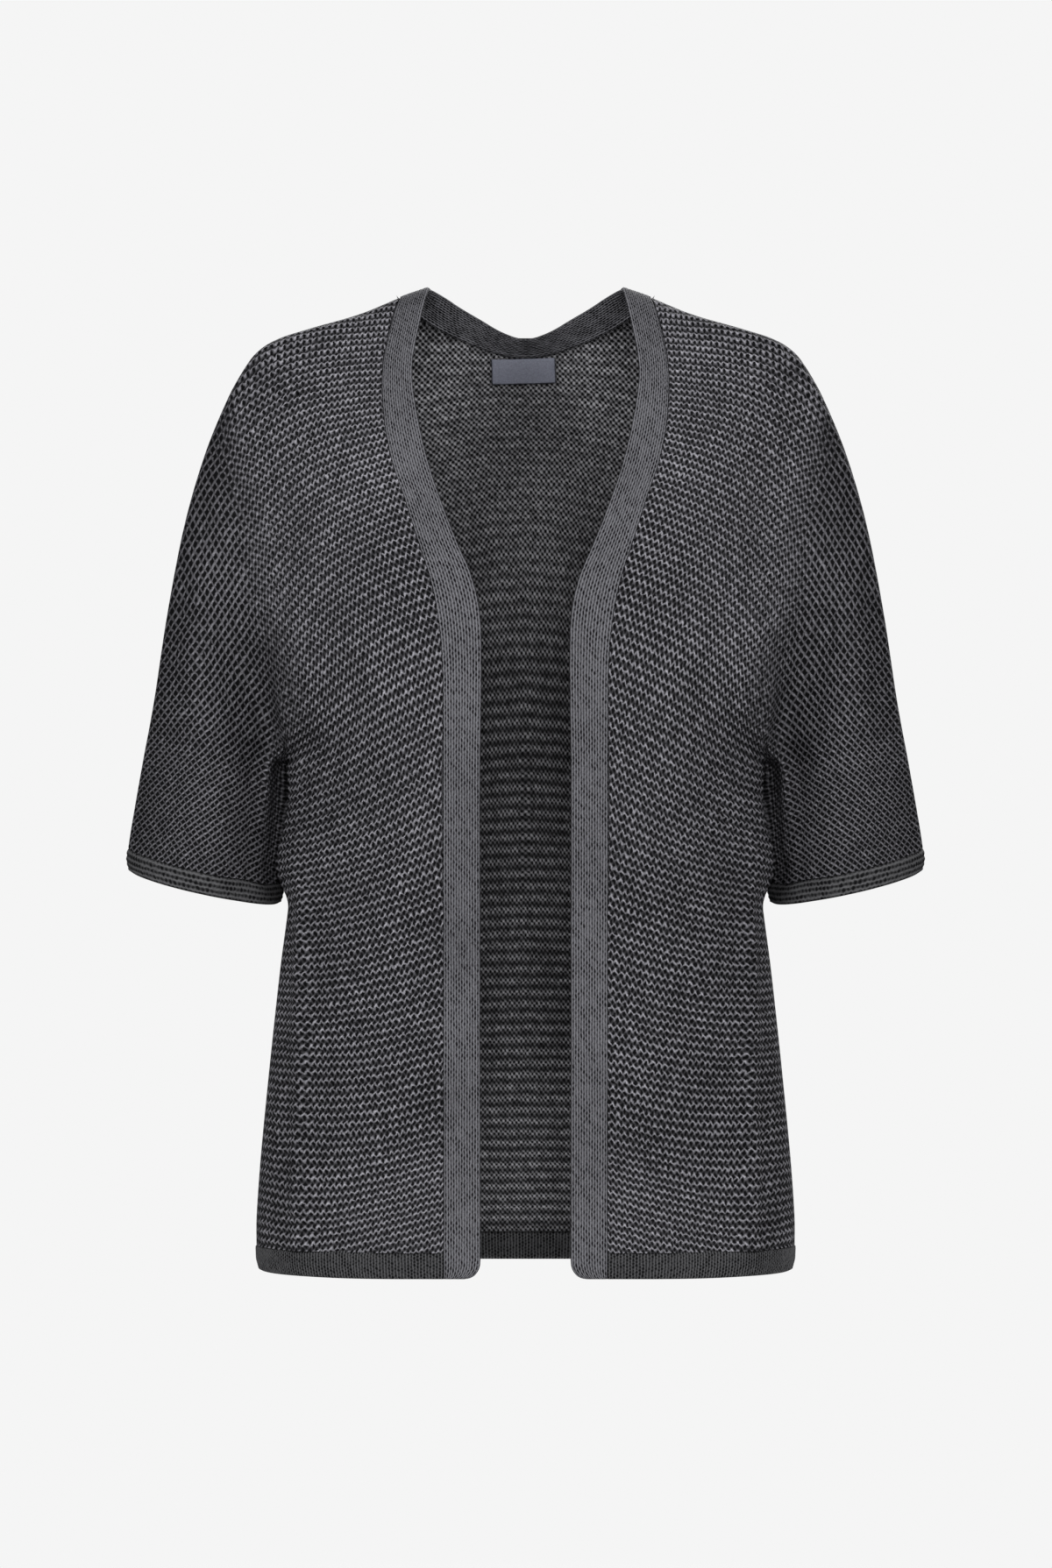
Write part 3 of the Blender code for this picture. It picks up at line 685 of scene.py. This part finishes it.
def mesh_object(name, verts, faces, maps, knit, look):
    """A smooth-shaded mesh with its UV maps, and three numbers at each vertex for its knit.

    They are the width of the yarn, as a share of a stitch, the share of the ridges' depth, which
    also sets how much darker the half-rows under the ridges are painted as shade, and how far the
    knit is stretched open, which also paints the yarn darker as shade.
    """
    mesh = bpy.data.meshes.new(name)
    mesh.vertices.add(len(verts))
    mesh.vertices.foreach_set("co", (verts * MM).astype(np.float32).ravel())
    mesh.loops.add(faces.size)
    mesh.loops.foreach_set("vertex_index", faces.ravel().astype(np.int32))
    mesh.polygons.add(len(faces))
    mesh.polygons.foreach_set("loop_start", np.arange(0, faces.size, 4, dtype=np.int32))
    mesh.polygons.foreach_set("use_smooth", np.ones(len(faces), bool))
    mesh.update(calc_edges=True)
    for key, values in maps.items():
        layer = mesh.uv_layers.new(name=key)
        layer.uv.foreach_set("vector", values[faces.ravel()].astype(np.float32).ravel())
    made = mesh.attributes.new("knit", "FLOAT_VECTOR", "POINT")
    made.data.foreach_set("vector", knit.astype(np.float32).ravel())
    mesh.materials.append(look)
    mesh.validate()
    return linked(name, mesh)


def quads(ids):
    """The faces of a grid of vertex numbers."""
    return np.stack([ids[:-1, :-1], ids[1:, :-1], ids[1:, 1:], ids[:-1, 1:]], -1).reshape(-1, 4)


def vertex_normals(verts, faces):
    """Unit normals at the vertices, from the faces round them."""
    a, b, c, d = (verts[faces[:, k]] for k in range(4))
    n = np.cross(c - a, d - b)
    out = np.zeros_like(verts)
    for k in range(4):
        for axis in range(3):
            out[:, axis] += np.bincount(faces[:, k], n[:, axis], len(verts))
    return out / np.maximum(np.linalg.norm(out, axis=1), 1e-12)[:, None]


def uneven(x, z):
    """Slow, small unevenness of cloth that has been worn."""
    a = np.sin(x / 13.0 + 1.7 * np.sin(z / 41.0)) * np.sin(z / 19.0 + 0.9 * np.sin(x / 23.0))
    b = np.sin(x / 7.1 - z / 11.3 + 1.3) * np.sin(z / 8.7 + x / 15.1)
    return 0.55 * a + 0.25 * b


def opened_out(region, x, z):
    """0 where the knit is ridged, more on the sleeves, where it is stretched to a plain net."""
    opened = NET_SHARE * ease((x - x_at(NET_LINE, z)) / 34 + 0.5)
    return opened * (1 - ease((UNDERARM_Z - z) / 30)) if region == "body" else opened


def bake_map(ids, points):
    """A flat layout of a panel: its columns across and its rows down, near their real widths."""
    u = summed(np.maximum(steps_across(points["upper"]), 0.4))
    down, below, arm = (summed(steps_across(grid.swapaxes(0, 1))) for grid in points.values())
    below, arm = down[-1] + below, down[-1] + arm
    split = points["body"].shape[1]
    grids = {
        "upper": np.stack(np.meshgrid(u, down), axis=-1),
        "body": np.stack(np.meshgrid(u[:split], below), axis=-1),
        "sleeve": np.stack(np.meshgrid(u[split:], arm), axis=-1),
    }
    return 0.005 + 0.99 * gathered(ids, grids) / max(u[-1], below[-1])


def with_other_half(ids, verts, faces, lay, knit, atlas):
    """The half panel and its mirror image, joined down the centre line."""
    centre = np.concatenate([ids["upper"][:, 0], ids["body"][1:, 0]])
    count = len(verts)
    other = np.full(count, -1)
    other[centre] = centre
    rest = np.flatnonzero(other < 0)
    other[rest] = count + np.arange(len(rest))
    verts[centre, 0] = 0.0
    # The two halves lie side by side in the baking layout.
    atlas = atlas * (0.5, 0.5)
    atlas = np.vstack([atlas, atlas[rest] * (-1.0, 1.0)]) + (0.5, 0.0)
    return (
        np.vstack([verts, verts[rest] * MIRRORED]),
        np.vstack([faces, other[faces][:, ::-1]]),
        np.vstack([lay, lay[rest] * (-1.0, 1.0)]),
        np.vstack([knit, knit[rest]]),
        atlas,
    )


def add_panel(name, side, size, look, rows_a_ridge, relief):
    """A front, or the back with both its halves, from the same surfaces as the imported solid."""
    flats = panel_grids(side, size)
    points, opened = {}, {}
    for region, grid in flats.items():
        points[region] = tucked(side, region, grid, placed(side, region, grid, SEAM_SLACK))
        opened[region] = opened_out(region, grid[..., 0], grid[..., 1])
    lays = lay_fields(side, points, flats, size)
    ids = numbered(size)
    verts, lay, opened = (gathered(ids, grids) for grids in (points, lays, opened))
    x, z = gathered(ids, flats).T
    faces = np.vstack([quads(ids[region]) for region in ids])
    n = vertex_normals(verts, faces)
    if n[np.argmax(abs(verts[:, 1])), 1] * OUTWARDS[side] < 0:
        faces, n = faces[:, ::-1], -n
    row, stitch = lay_at(side, x, z)[2:]
    # The sleeve's lower part is worked in the same yarn, drawn thinner.
    fine = YARN * np.sqrt(1 / row**2 + 1 / stitch**2) * (1 - 0.2 * in_sleeve(x, z))
    # The back's ridges, two rows high, grow deeper from the shoulders down, and with them the
    # half-rows under the ridges are painted darker, so the back is painted in more shade towards
    # the hem.
    ridged = 0 * z + 1 if side == "front" else 0.5 + 0.5 * ease((-130 - z) / 190)
    knit = np.stack([fine, ridged, opened], axis=1)
    high = np.cos(2 * math.pi * (lay[:, 1] - RIDGE_AT) / rows_a_ridge)
    lift = relief * high * (1 - opened) * ridged + uneven(x, z)
    fade = ease(np.minimum(gap_to(OVERARM, x, z), gap_to(UNDERARM, x, z)) / 5.0)
    verts = verts + n * (lift * fade)[:, None]
    atlas = bake_map(ids, points)
    if side == "back":
        verts, faces, lay, knit, atlas = with_other_half(ids, verts, faces, lay, knit, atlas)
    return mesh_object(name, verts, faces, {"OFBake": atlas, "lay": lay}, knit, look)


def mirrored_piece(piece, name):
    """A piece's mirror image in the centre line."""
    mesh = piece.data.copy()
    mesh.name = name
    co = np.empty(len(mesh.vertices) * 3, np.float32)
    mesh.vertices.foreach_get("co", co)
    co[0::3] *= -1
    mesh.vertices.foreach_set("co", co)
    mesh.flip_normals()
    mesh.update()
    return linked(name, mesh)


def add_strip(name, face, n, lift, wall, edges, lay, look, opened=0.0, closed=False):
    """A closed strip of cloth with round edges, whose middle is lifted from a grid of points.

    wall is its thickness, n holds the grid's normals, edges says how far each point is from the
    nearest free edge, and opened how far the knit is stretched open.
    """
    half = (wall / 2 * rounded(edges / (wall / 2)))[..., None]
    middle = face + n * lift[..., None]
    verts = np.concatenate([middle + n * half, middle - n * half]).reshape(-1, 3)
    front = np.arange(edges.size).reshape(edges.shape)
    back = np.where(half[..., 0] < 1e-6, front, front + front.size)
    if closed:
        front[:, -1], back[:, -1] = front[:, 0], back[:, 0]
    used, faces = np.unique(np.vstack([quads(front), quads(back)[:, ::-1]]), return_inverse=True)
    knit = np.zeros((*edges.shape, 3))
    knit[..., 2] = opened
    lay = np.concatenate([lay, lay]).reshape(-1, 2)[used]
    knit = np.concatenate([knit, knit]).reshape(-1, 3)[used]
    return mesh_object(name, verts[used], faces.reshape(-1, 4), {"lay": lay}, knit, look)


def seam_dip(far):
    """How far a strip, at this distance from its seam, dips under the panel's edge."""
    return -SEAM_DIP * (1 - ease((far + 0.4) / 2.4))


def to_edges(down, height, shape):
    """How far each point of a strip is from its upper and its lower edge."""
    return np.broadcast_to(height * np.minimum(1 - down, down - down[0])[:, None], shape)


def add_band(look):
    """The strip up a front, round the back of the neck and down the other front."""
    across = np.linspace(0, BAND_UNDER, 23)
    rows = down_from_shoulder(230, -UNDERARM_Z)
    edge, seam = (along(smooth_line(line), rows) for line in (BAND_EDGE, BAND_SEAM))
    low = straight_down(BAND_EDGE[-1].x, np.linspace(UNDERARM_Z, BAND_CORNER[0].z, 215)[1:])
    low = np.vstack([low, smooth_line(BAND_CORNER, 3)[1:]])
    seam = np.vstack([seam, straight_down(BAND_SEAM[-1].x, low[:, 1])])
    front = spanned(np.vstack([edge, low]), seam, across)
    rows = 1 - toward_end(70)[::-1]
    edge, seam = (along(smooth_line(line), rows) for line in (NECK_EDGE, NECK_SEAM))
    neck = placed("back", "upper", spanned(edge, seam, across))
    half = np.vstack([neck[::-1], placed("front", "upper", front)[1:]])
    # From one hem, round the neck, to the other.
    strip = np.vstack([(half * MIRRORED)[:0:-1], half])
    far = lengths(strip[:, len(across) // 2])
    steps = np.diff(strip, axis=1, prepend=strip[:, :1])
    width = np.cumsum(np.linalg.norm(steps, axis=2), axis=1)
    total = width[:, -1:]
    edges = np.minimum(np.minimum(width, total - width), np.minimum(far, far[-1] - far)[:, None])
    stitch = width / total * BAND_COLUMNS
    lay = np.stack([stitch, np.broadcast_to(far[:, None] / 3.9, stitch.shape)], axis=-1)
    ribs = 0.14 * np.cos(4 * math.pi * stitch) * ease(width / 3)
    lift = -0.95 + ribs + seam_dip(total / BAND_UNDER - width)
    opened = ease(strip[..., 1] / 30)
    n = grid_normals(strip, (0, 1, 0))
    return add_strip("knit_front_band", strip, n, lift, STRIP_WALL, edges, lay, look, opened)


def add_hem(name, side, look):
    """A close-knitted hem, in fine upright columns."""
    down = np.linspace(-0.12, 1, 17)
    outer = reaching(HEM_SIDE, SIDE, down)
    if side == "front":
        columns, inner_x = 380, BAND_SEAM[-1].x
    else:
        columns, inner_x = 420, 0.0
    inner = straight_down(inner_x, outer[:, 1])
    grid = placed(side, "body", spanned(inner, outer, toward_end(columns)))
    if side == "back":
        grid = np.concatenate([(grid * MIRRORED)[:, :0:-1], grid], axis=1)
    run = summed(steps_across(grid))
    if side == "back":
        run -= run[len(run) // 2]
    drop = HEM_SEAM_Z - grid[..., 2]
    stitch = np.broadcast_to(run / 4.4, drop.shape)
    lay = np.stack([stitch, -drop / 2.4], axis=-1)
    lift = -1.0 - 0.225 * np.cos(4 * math.pi * stitch) + seam_dip(drop)
    edges = to_edges(down, HEM_SEAM_Z - HEM_EDGE_Z, drop.shape)
    n = grid_normals(grid, (0, OUTWARDS[side], 0))
    return add_strip(name, grid, n, lift, STRIP_WALL, edges, lay, look)


def add_cuff(name, look):
    """A close-knitted tube at the sleeve's end, in rows along its edge."""
    down = np.linspace(-0.13, 1, 19)
    inner, outer = reaching(CUFF_INNER, INNER_SLEEVE, down), reaching(CUFF_OUTER, ARM, down)
    flat = spanned(inner, outer, toward_both(110))
    front, back = (tucked(side, "sleeve", flat, placed(side, "sleeve", flat)) for side in OUTWARDS)
    ring = np.concatenate([front, back[:, -2::-1]], axis=1)
    run = summed(steps_across(ring))
    whole = round(run[-1] / 3.4)
    stitch = np.broadcast_to(run / run[-1] * whole, ring.shape[:2])
    row = np.broadcast_to((-down * 4.0)[:, None], stitch.shape)
    lay = np.stack([row / 2, stitch], axis=-1)
    lift = -1.0 + 0.25 * np.cos(2 * math.pi * (row - 0.1)) + seam_dip(down * CUFF_HEIGHT)[:, None]
    edges = to_edges(down, CUFF_HEIGHT, stitch.shape)
    # The normals at the closing seam are those of the ring carried on a step both ways.
    rolled = np.concatenate([ring[:, -2:-1], ring, ring[:, 1:2]], axis=1)
    n = grid_normals(rolled, (1, 0, 0))[:, 1:-1]
    return add_strip(name, ring, n, lift, STRIP_WALL, edges, lay, look, closed=True)


def add_label(look):
    """The bare label, sewn down at both ends and bowed a little between them."""
    size, centre, tilt = (46.5, 17.6), (-1.5, -54.2), math.radians(1.6)
    u, v = np.meshgrid(np.linspace(-0.5, 0.5, 49), np.linspace(0.5, -0.5, 21))
    x = centre[0] + u * size[0] * math.cos(tilt) - v * size[1] * math.sin(tilt)
    z = centre[1] + u * size[0] * math.sin(tilt) + v * size[1] * math.cos(tilt)
    grid = placed("back", "upper", np.stack([abs(x), z], axis=-1))
    grid[..., 0] = x
    n = grid_normals(grid, (0, -1, 0))
    to_side = (0.5 - abs(u)) * size[0]
    fold = np.exp(-(((u + 0.5) * size[0] - 4.2) ** 2) / 1.2)
    bow = 0.9 * ease(to_side / 5.0) * (0.6 + 0.4 * np.cos(math.pi * v)) - 0.5 * fold
    edges = np.minimum(to_side, (0.5 - abs(v)) * size[1])
    lay = np.stack([u * 40, v * 15], axis=-1)
    return add_strip("satin_label", grid, n, 2.9 + bow, 0.7, edges, lay, look)


class Look:
    """A material whose nodes are made one sum at a time."""

    def __init__(self, name, roughness):
        self.material = bpy.data.materials.new(name)
        self.material.use_nodes = True
        self.nodes = self.material.node_tree.nodes
        self.links = self.material.node_tree.links
        self.shader = self.nodes["Principled BSDF"]
        self.shader.inputs["Roughness"].default_value = roughness
        self.shader.inputs["Specular IOR Level"].default_value = 0.1

    def node(self, kind, inputs=(), **settings):
        """A new node with these settings, and with a value or a link in each of these inputs."""
        made = self.nodes.new(kind)
        for key, value in settings.items():
            setattr(made, key, value)
        for key, value in dict(inputs).items():
            if isinstance(value, bpy.types.NodeSocket):
                self.links.new(value, made.inputs[key])
            else:
                made.inputs[key].default_value = value
        return made

    def give(self, name, value):
        """Link a value to the shader's input of this name."""
        self.links.new(value, self.shader.inputs[name])

    def do(self, operation, *values, clamp=False):
        inputs = enumerate(values)
        return self.node("ShaderNodeMath", inputs, operation=operation, use_clamp=clamp).outputs[0]

    def times(self, first, *others):
        """The product of all the values."""
        for value in others:
            first = self.do("MULTIPLY", first, value)
        return first

    def line(self, value, gain, base):
        """gain times the value, and base more."""
        return self.do("MULTIPLY_ADD", value, gain, base)

    def toward(self, a, b, share):
        """a where the share is 0, b where it is 1."""
        return self.line(self.do("SUBTRACT", b, a), share, a)

    def parts(self, vector):
        return self.node("ShaderNodeSeparateXYZ", {0: vector}).outputs

    def place(self):
        return self.node("ShaderNodeTexCoord").outputs["Object"]

    def lay(self):
        """How many stitches along, and how many rows up, each point is."""
        return self.parts(self.node("ShaderNodeUVMap", uv_map="lay").outputs[0])[:2]

    def knit(self):
        """The three numbers that a mesh carries for its knit."""
        return self.parts(self.node("ShaderNodeAttribute", attribute_name="knit").outputs["Vector"])

    def between(self, value, low, high):
        """0 under the low value, 1 over the high one, and smooth between them."""
        inputs = enumerate((value, low, high))
        return self.node("ShaderNodeMapRange", inputs, interpolation_type="SMOOTHSTEP").outputs[0]

    def noise(self, scale, detail=2.0):
        inputs = {"Vector": self.place(), "Scale": scale, "Detail": detail}
        return self.node("ShaderNodeTexNoise", inputs).outputs["Fac"]

    def wobble(self, scale, detail, size):
        """Noise round 0, from -size / 2 to size / 2."""
        return self.line(self.noise(scale, detail), size, -size / 2)

    def random(self, *values):
        """A number of its own for each whole step of the values."""
        steps = enumerate([self.do("FLOOR", value) for value in values])
        place = self.node("ShaderNodeCombineXYZ", steps).outputs[0]
        return self.node("ShaderNodeTexWhiteNoise", {"Vector": place}).outputs["Value"]

    def paint(self, share, dark, light):
        """Colour the surface from dark, where the share is 0, to light."""
        inputs = {0: share, 6: dark, 7: light}
        self.give("Base Color", self.node("ShaderNodeMix", inputs, data_type="RGBA").outputs[2])

    def bump(self, height, distance, strength=1.0):
        inputs = {"Strength": strength, "Distance": distance, "Height": height}
        self.give("Normal", self.node("ShaderNodeBump", inputs).outputs["Normal"])


def yarn_finish(look, colours, tone, height, bump):
    """Colour and bump of a knit: gaps painted dark as shade, and hairy yarn that is never quite one
    tone.
    """
    fibre = look.noise(1500.0, 3.0)
    mottle, slow = look.noise(700.0), look.noise(16.0)
    tone = look.times(tone, look.line(mottle, 1.4, 0.3), look.line(fibre, 0.8, 0.6))
    look.paint(look.times(tone, look.line(slow, 0.7, 0.65)), *colours)
    look.give("Roughness", look.line(fibre, 0.2, 0.7))
    look.bump(look.line(fibre, 0.12, height), bump)
    return look.material


def knit_look(name, colours, ridge_share, rows_a_ridge, node_highlight, motley):
    """Yarn that zigzags along each row, and crosses to the next row through the gaps.

    Two sets of slanting strands cross at the knit's nodes and leave staggered gaps between them.
    The upper half of each row's zigzag stands out as a ridge: it is bumped up, and the lower half
    is painted darker as shade. Where the knit is stretched open, the strands run along the rows and
    up the columns instead, and the yarn is painted darker as shade. beaded is how much brighter the
    nodes are painted than the strands, a painted highlight, and motley how much one stitch differs
    from the next.
    """
    look = Look(name, 0.78)
    stitch, row = look.lay()
    fine, ridged, opened = look.knit()
    # A slow wander keeps the rows from being ruled lines.
    for wobble in (look.wobble(45.0, 2.0, 0.5), look.wobble(320.0, 4.0, 0.55)):
        row = look.do("ADD", row, wobble)
    stitch = look.do("ADD", stitch, look.wobble(260.0, 4.0, 0.6))
    slants = look.do("ADD", stitch, row), look.do("SUBTRACT", stitch, row)
    fine = look.times(fine, look.line(look.noise(240.0), 0.7, 0.62))
    strands = []
    for at, width in ((slants[0], 1.0), (slants[1], 1.0), (stitch, 0.58), (row, 0.76)):
        off = look.do("ABSOLUTE", look.do("SUBTRACT", look.do("FRACT", at), 0.5))
        part = look.do("DIVIDE", off, look.times(fine, width))
        round_top = look.do("SUBTRACT", 1.0, look.times(part, part), clamp=True)
        strands.append(look.do("SQRT", round_top))
    net = look.do("SMOOTH_MAX", strands[0], look.times(strands[1], 0.9), 0.2)
    lines = look.do("SMOOTH_MAX", look.times(strands[2], 0.76), strands[3], 0.2)
    net = look.toward(net, lines, opened)
    bead = look.toward(look.times(*strands[:2]), look.times(*strands[2:]), opened)
    # The lower half of each row, under the ridge, is bumped lower and painted darker as shade.
    turn = look.times(look.do("SUBTRACT", row, RIDGE_AT), 2 * math.pi / rows_a_ridge)
    low = look.line(look.do("COSINE", turn), -0.5, 0.5)
    low = look.times(low, look.do("SUBTRACT", 1.0, opened), ridged)
    level = look.line(low, -ridge_share, 1.0)
    tone = look.times(
        # The strands' flanks are painted darker than their crowns, as shade on the round yarn.
        look.do("POWER", net, 2.8),
        level,
        # The nodes are painted brighter than the strands, a painted highlight.
        look.line(bead, node_highlight, 1.0 - node_highlight),
        look.line(look.random(*slants), motley, 1.0 - motley / 2),
        # Where the knit is opened out on the sleeves, the yarn is painted darker, as painted shade.
        look.line(opened, -0.45, 1.0),
    )
    return yarn_finish(look, colours, tone, look.times(net, level), 0.0012)


def close_knit_look(name, colours, slit, depth):
    """Close knitting: upright columns with a staggered row of slits, painted dark as shade, between
    each two.

    slit gives half the width and half the length of a slit, in columns and rows, and depth how far
    the columns' edges are below their crowns, and so how much darker they are painted as shade.
    Where the knit is stretched open, the slits widen.
    """
    look = Look(name, 0.8)
    stitch, row = look.lay()
    opened = look.knit()[2]
    jitter = look.wobble(300.0, 3.0, 1.0)
    stitch, row = look.line(jitter, 0.26, stitch), look.line(jitter, 0.5, row)
    slits = []
    for start in (0.0, 0.5):
        at = look.do("ADD", stitch, start), look.do("ADD", row, start)
        away = look.times(look.random(*at), 0.7)
        for value, half in zip(at, slit):
            off = look.do("DIVIDE", look.do("SUBTRACT", look.do("FRACT", value), 0.5), half)
            away = look.do("MULTIPLY_ADD", off, off, away)
        slits.append(away)
    nearest = look.times(look.do("MINIMUM", *slits), look.line(opened, -0.32, 1.0))
    column = look.do("COSINE", look.times(stitch, 4 * math.pi))
    crown = look.line(column, -0.5 * depth, 1 - 0.5 * depth)
    height = look.times(look.between(nearest, 0.15, 1.35), crown)
    # The height is the tone too: the slits and the columns' edges are painted dark, as shade.
    return yarn_finish(look, colours, height, height, 0.0009)


def satin_look():
    """Fine satin, in threads that run across."""
    look = Look("label_satin", 0.4)
    threads = look.do("SINE", look.times(look.parts(look.place())[2], 2 * math.pi / 0.0005))
    mottle = look.noise(900.0, 3.0)
    tone = look.line(threads, 0.12, look.times(mottle, 0.8))
    look.paint(tone, *SATIN)
    look.bump(look.line(threads, 0.3, mottle), 0.0001, 0.6)
    return look.material


def declare(piece, slot, cut, area):
    """Put a piece of cloth in its node's place; the width and length of its cut, and its area, are
    not used.
    """
    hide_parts(piece.name.split("_", 1)[1])
    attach(piece, "root")


def declare_pair(left, *facts):
    """Declare a left piece, and then its mirror image, the right one."""
    declare(left, *facts)
    declare(mirrored_piece(left, left.name.replace("left", "right")), *facts)


def add_lamp(lamp):
    light = bpy.data.lights.new(lamp.name, "AREA")
    light.shape = "RECTANGLE"
    light.size, light.size_y = lamp.width, lamp.height
    light.energy = lamp.power
    made = linked(lamp.name, light)
    made.visible_camera = False
    made.location = lamp.place
    aim = np.array((0.0, 0.0, lamp.aim_z)) - lamp.place
    tip = math.acos(-aim[2] / np.linalg.norm(aim))
    made.rotation_euler = (tip, 0.0, math.atan2(-aim[0], aim[1]))


def add_floor():
    """A round pale floor that fades out towards its rim."""
    rings, spokes = 24, 96
    radius = np.linspace(0, 1.0, rings + 1) ** 0.8 * FLOOR_REACH
    turn = np.linspace(0, 2 * math.pi, spokes, endpoint=False)
    verts = [(0.0, 0.0, FLOOR_Z)]
    for r in radius[1:]:
        verts += [(r * math.cos(a), r * math.sin(a), FLOOR_Z) for a in turn]
    faces = [(0, 1 + k, 1 + (k + 1) % spokes) for k in range(spokes)]
    for ring in range(1, 1 + (rings - 1) * spokes, spokes):
        for k in range(spokes):
            a, b = ring + k, ring + (k + 1) % spokes
            faces.append((a, a + spokes, b + spokes, b))
    mesh = bpy.data.meshes.new("floor")
    mesh.from_pydata(verts, [], faces)
    look = Look("floor_pale", 0.85)
    x, y, _ = look.parts(look.place())
    far = look.do("SQRT", look.do("ADD", look.times(x, x), look.times(y, y)))
    look.paint(look.noise(30.0, 3.0), (0.86, 0.86, 0.86, 1), (0.9, 0.9, 0.9, 1))
    clear = look.node("ShaderNodeBsdfTransparent").outputs[0]
    inputs = {0: look.between(far, 0.55, 1.2), 1: look.shader.outputs[0], 2: clear}
    blend = look.node("ShaderNodeMixShader", inputs).outputs[0]
    look.links.new(blend, look.nodes["Material Output"].inputs["Surface"])
    mesh.materials.append(look.material)
    linked("floor", mesh)


def add_studio():
    """The floor, soft light from the front and from behind, and the camera."""
    add_floor()
    world = bpy.data.worlds.new("studio")
    bpy.context.scene.world = world
    world.use_nodes = True
    nodes, links = world.node_tree.nodes, world.node_tree.links
    # The camera sees a paler backdrop than the one that lights the cloth.
    shown, light = nodes["Background"], nodes.new("ShaderNodeBackground")
    for node, grey, strength in ((shown, 0.913, 1.0), (light, 1.0, 0.09)):
        node.inputs["Color"].default_value = (grey, grey, grey, 1)
        node.inputs["Strength"].default_value = strength
    path = nodes.new("ShaderNodeLightPath")
    blend = nodes.new("ShaderNodeMixShader")
    links.new(path.outputs["Is Camera Ray"], blend.inputs[0])
    links.new(light.outputs[0], blend.inputs[1])
    links.new(shown.outputs[0], blend.inputs[2])
    links.new(blend.outputs[0], nodes["World Output"].inputs["Surface"])
    for lamp in LAMPS:
        add_lamp(lamp)
    camera = bpy.data.cameras.new("camera")
    camera.sensor_fit = "VERTICAL"
    camera.sensor_height = 36.0
    camera.lens = 162.3
    camera.clip_start, camera.clip_end = 0.05, 100.0
    eye = linked("camera", camera)
    eye.location = CAMERA_PLACE
    eye.rotation_euler = (math.pi / 2, 0.0, 0.0)
    bpy.context.scene.camera = eye
    bpy.context.scene.view_settings.view_transform = "Standard"


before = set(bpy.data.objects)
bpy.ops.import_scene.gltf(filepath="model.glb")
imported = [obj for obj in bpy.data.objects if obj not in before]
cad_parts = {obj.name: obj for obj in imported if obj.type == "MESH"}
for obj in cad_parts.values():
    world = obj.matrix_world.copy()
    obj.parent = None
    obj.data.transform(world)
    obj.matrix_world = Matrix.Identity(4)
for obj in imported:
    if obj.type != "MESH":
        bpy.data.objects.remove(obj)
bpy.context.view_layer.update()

main_knit = knit_look("main_knit", MAIN, ridge_share=0.86, rows_a_ridge=1, node_highlight=0.4, motley=0.5)
back_knit = knit_look("back_knit", BACK, ridge_share=0.8, rows_a_ridge=2, node_highlight=0.62, motley=0.7)
band_knit = close_knit_look("band_knit", BAND, slit=(0.19, 0.44), depth=0.65)
trim_knit = close_knit_look("trim_knit", TRIM, slit=(0.21, 0.42), depth=0.7)

front = add_panel("knit_front_left", "front", FRONT_GRID, main_knit, 1, 0.65)
declare_pair(front, "knit", (0.33, 0.73), 0.156)
back = add_panel("knit_back", "back", BACK_GRID, back_knit, 2, 0.55)
declare(back, "knit", (0.72, 0.74), 0.382)
declare(add_band(band_knit), "band_knit", (0.028, 1.78), 0.0485)
hem = add_hem("knit_hem_left", "front", trim_knit)
declare_pair(hem, "trim_knit", (0.02, 0.23), 0.0046)
declare(add_hem("knit_hem_back", "back", trim_knit), "trim_knit", (0.02, 0.59), 0.0118)
declare_pair(add_cuff("knit_cuff_left", trim_knit), "trim_knit", (0.02, 0.36), 0.007)
declare(add_label(satin_look()), "label_satin", (0.0465, 0.0176), 0.00081)

add_studio()
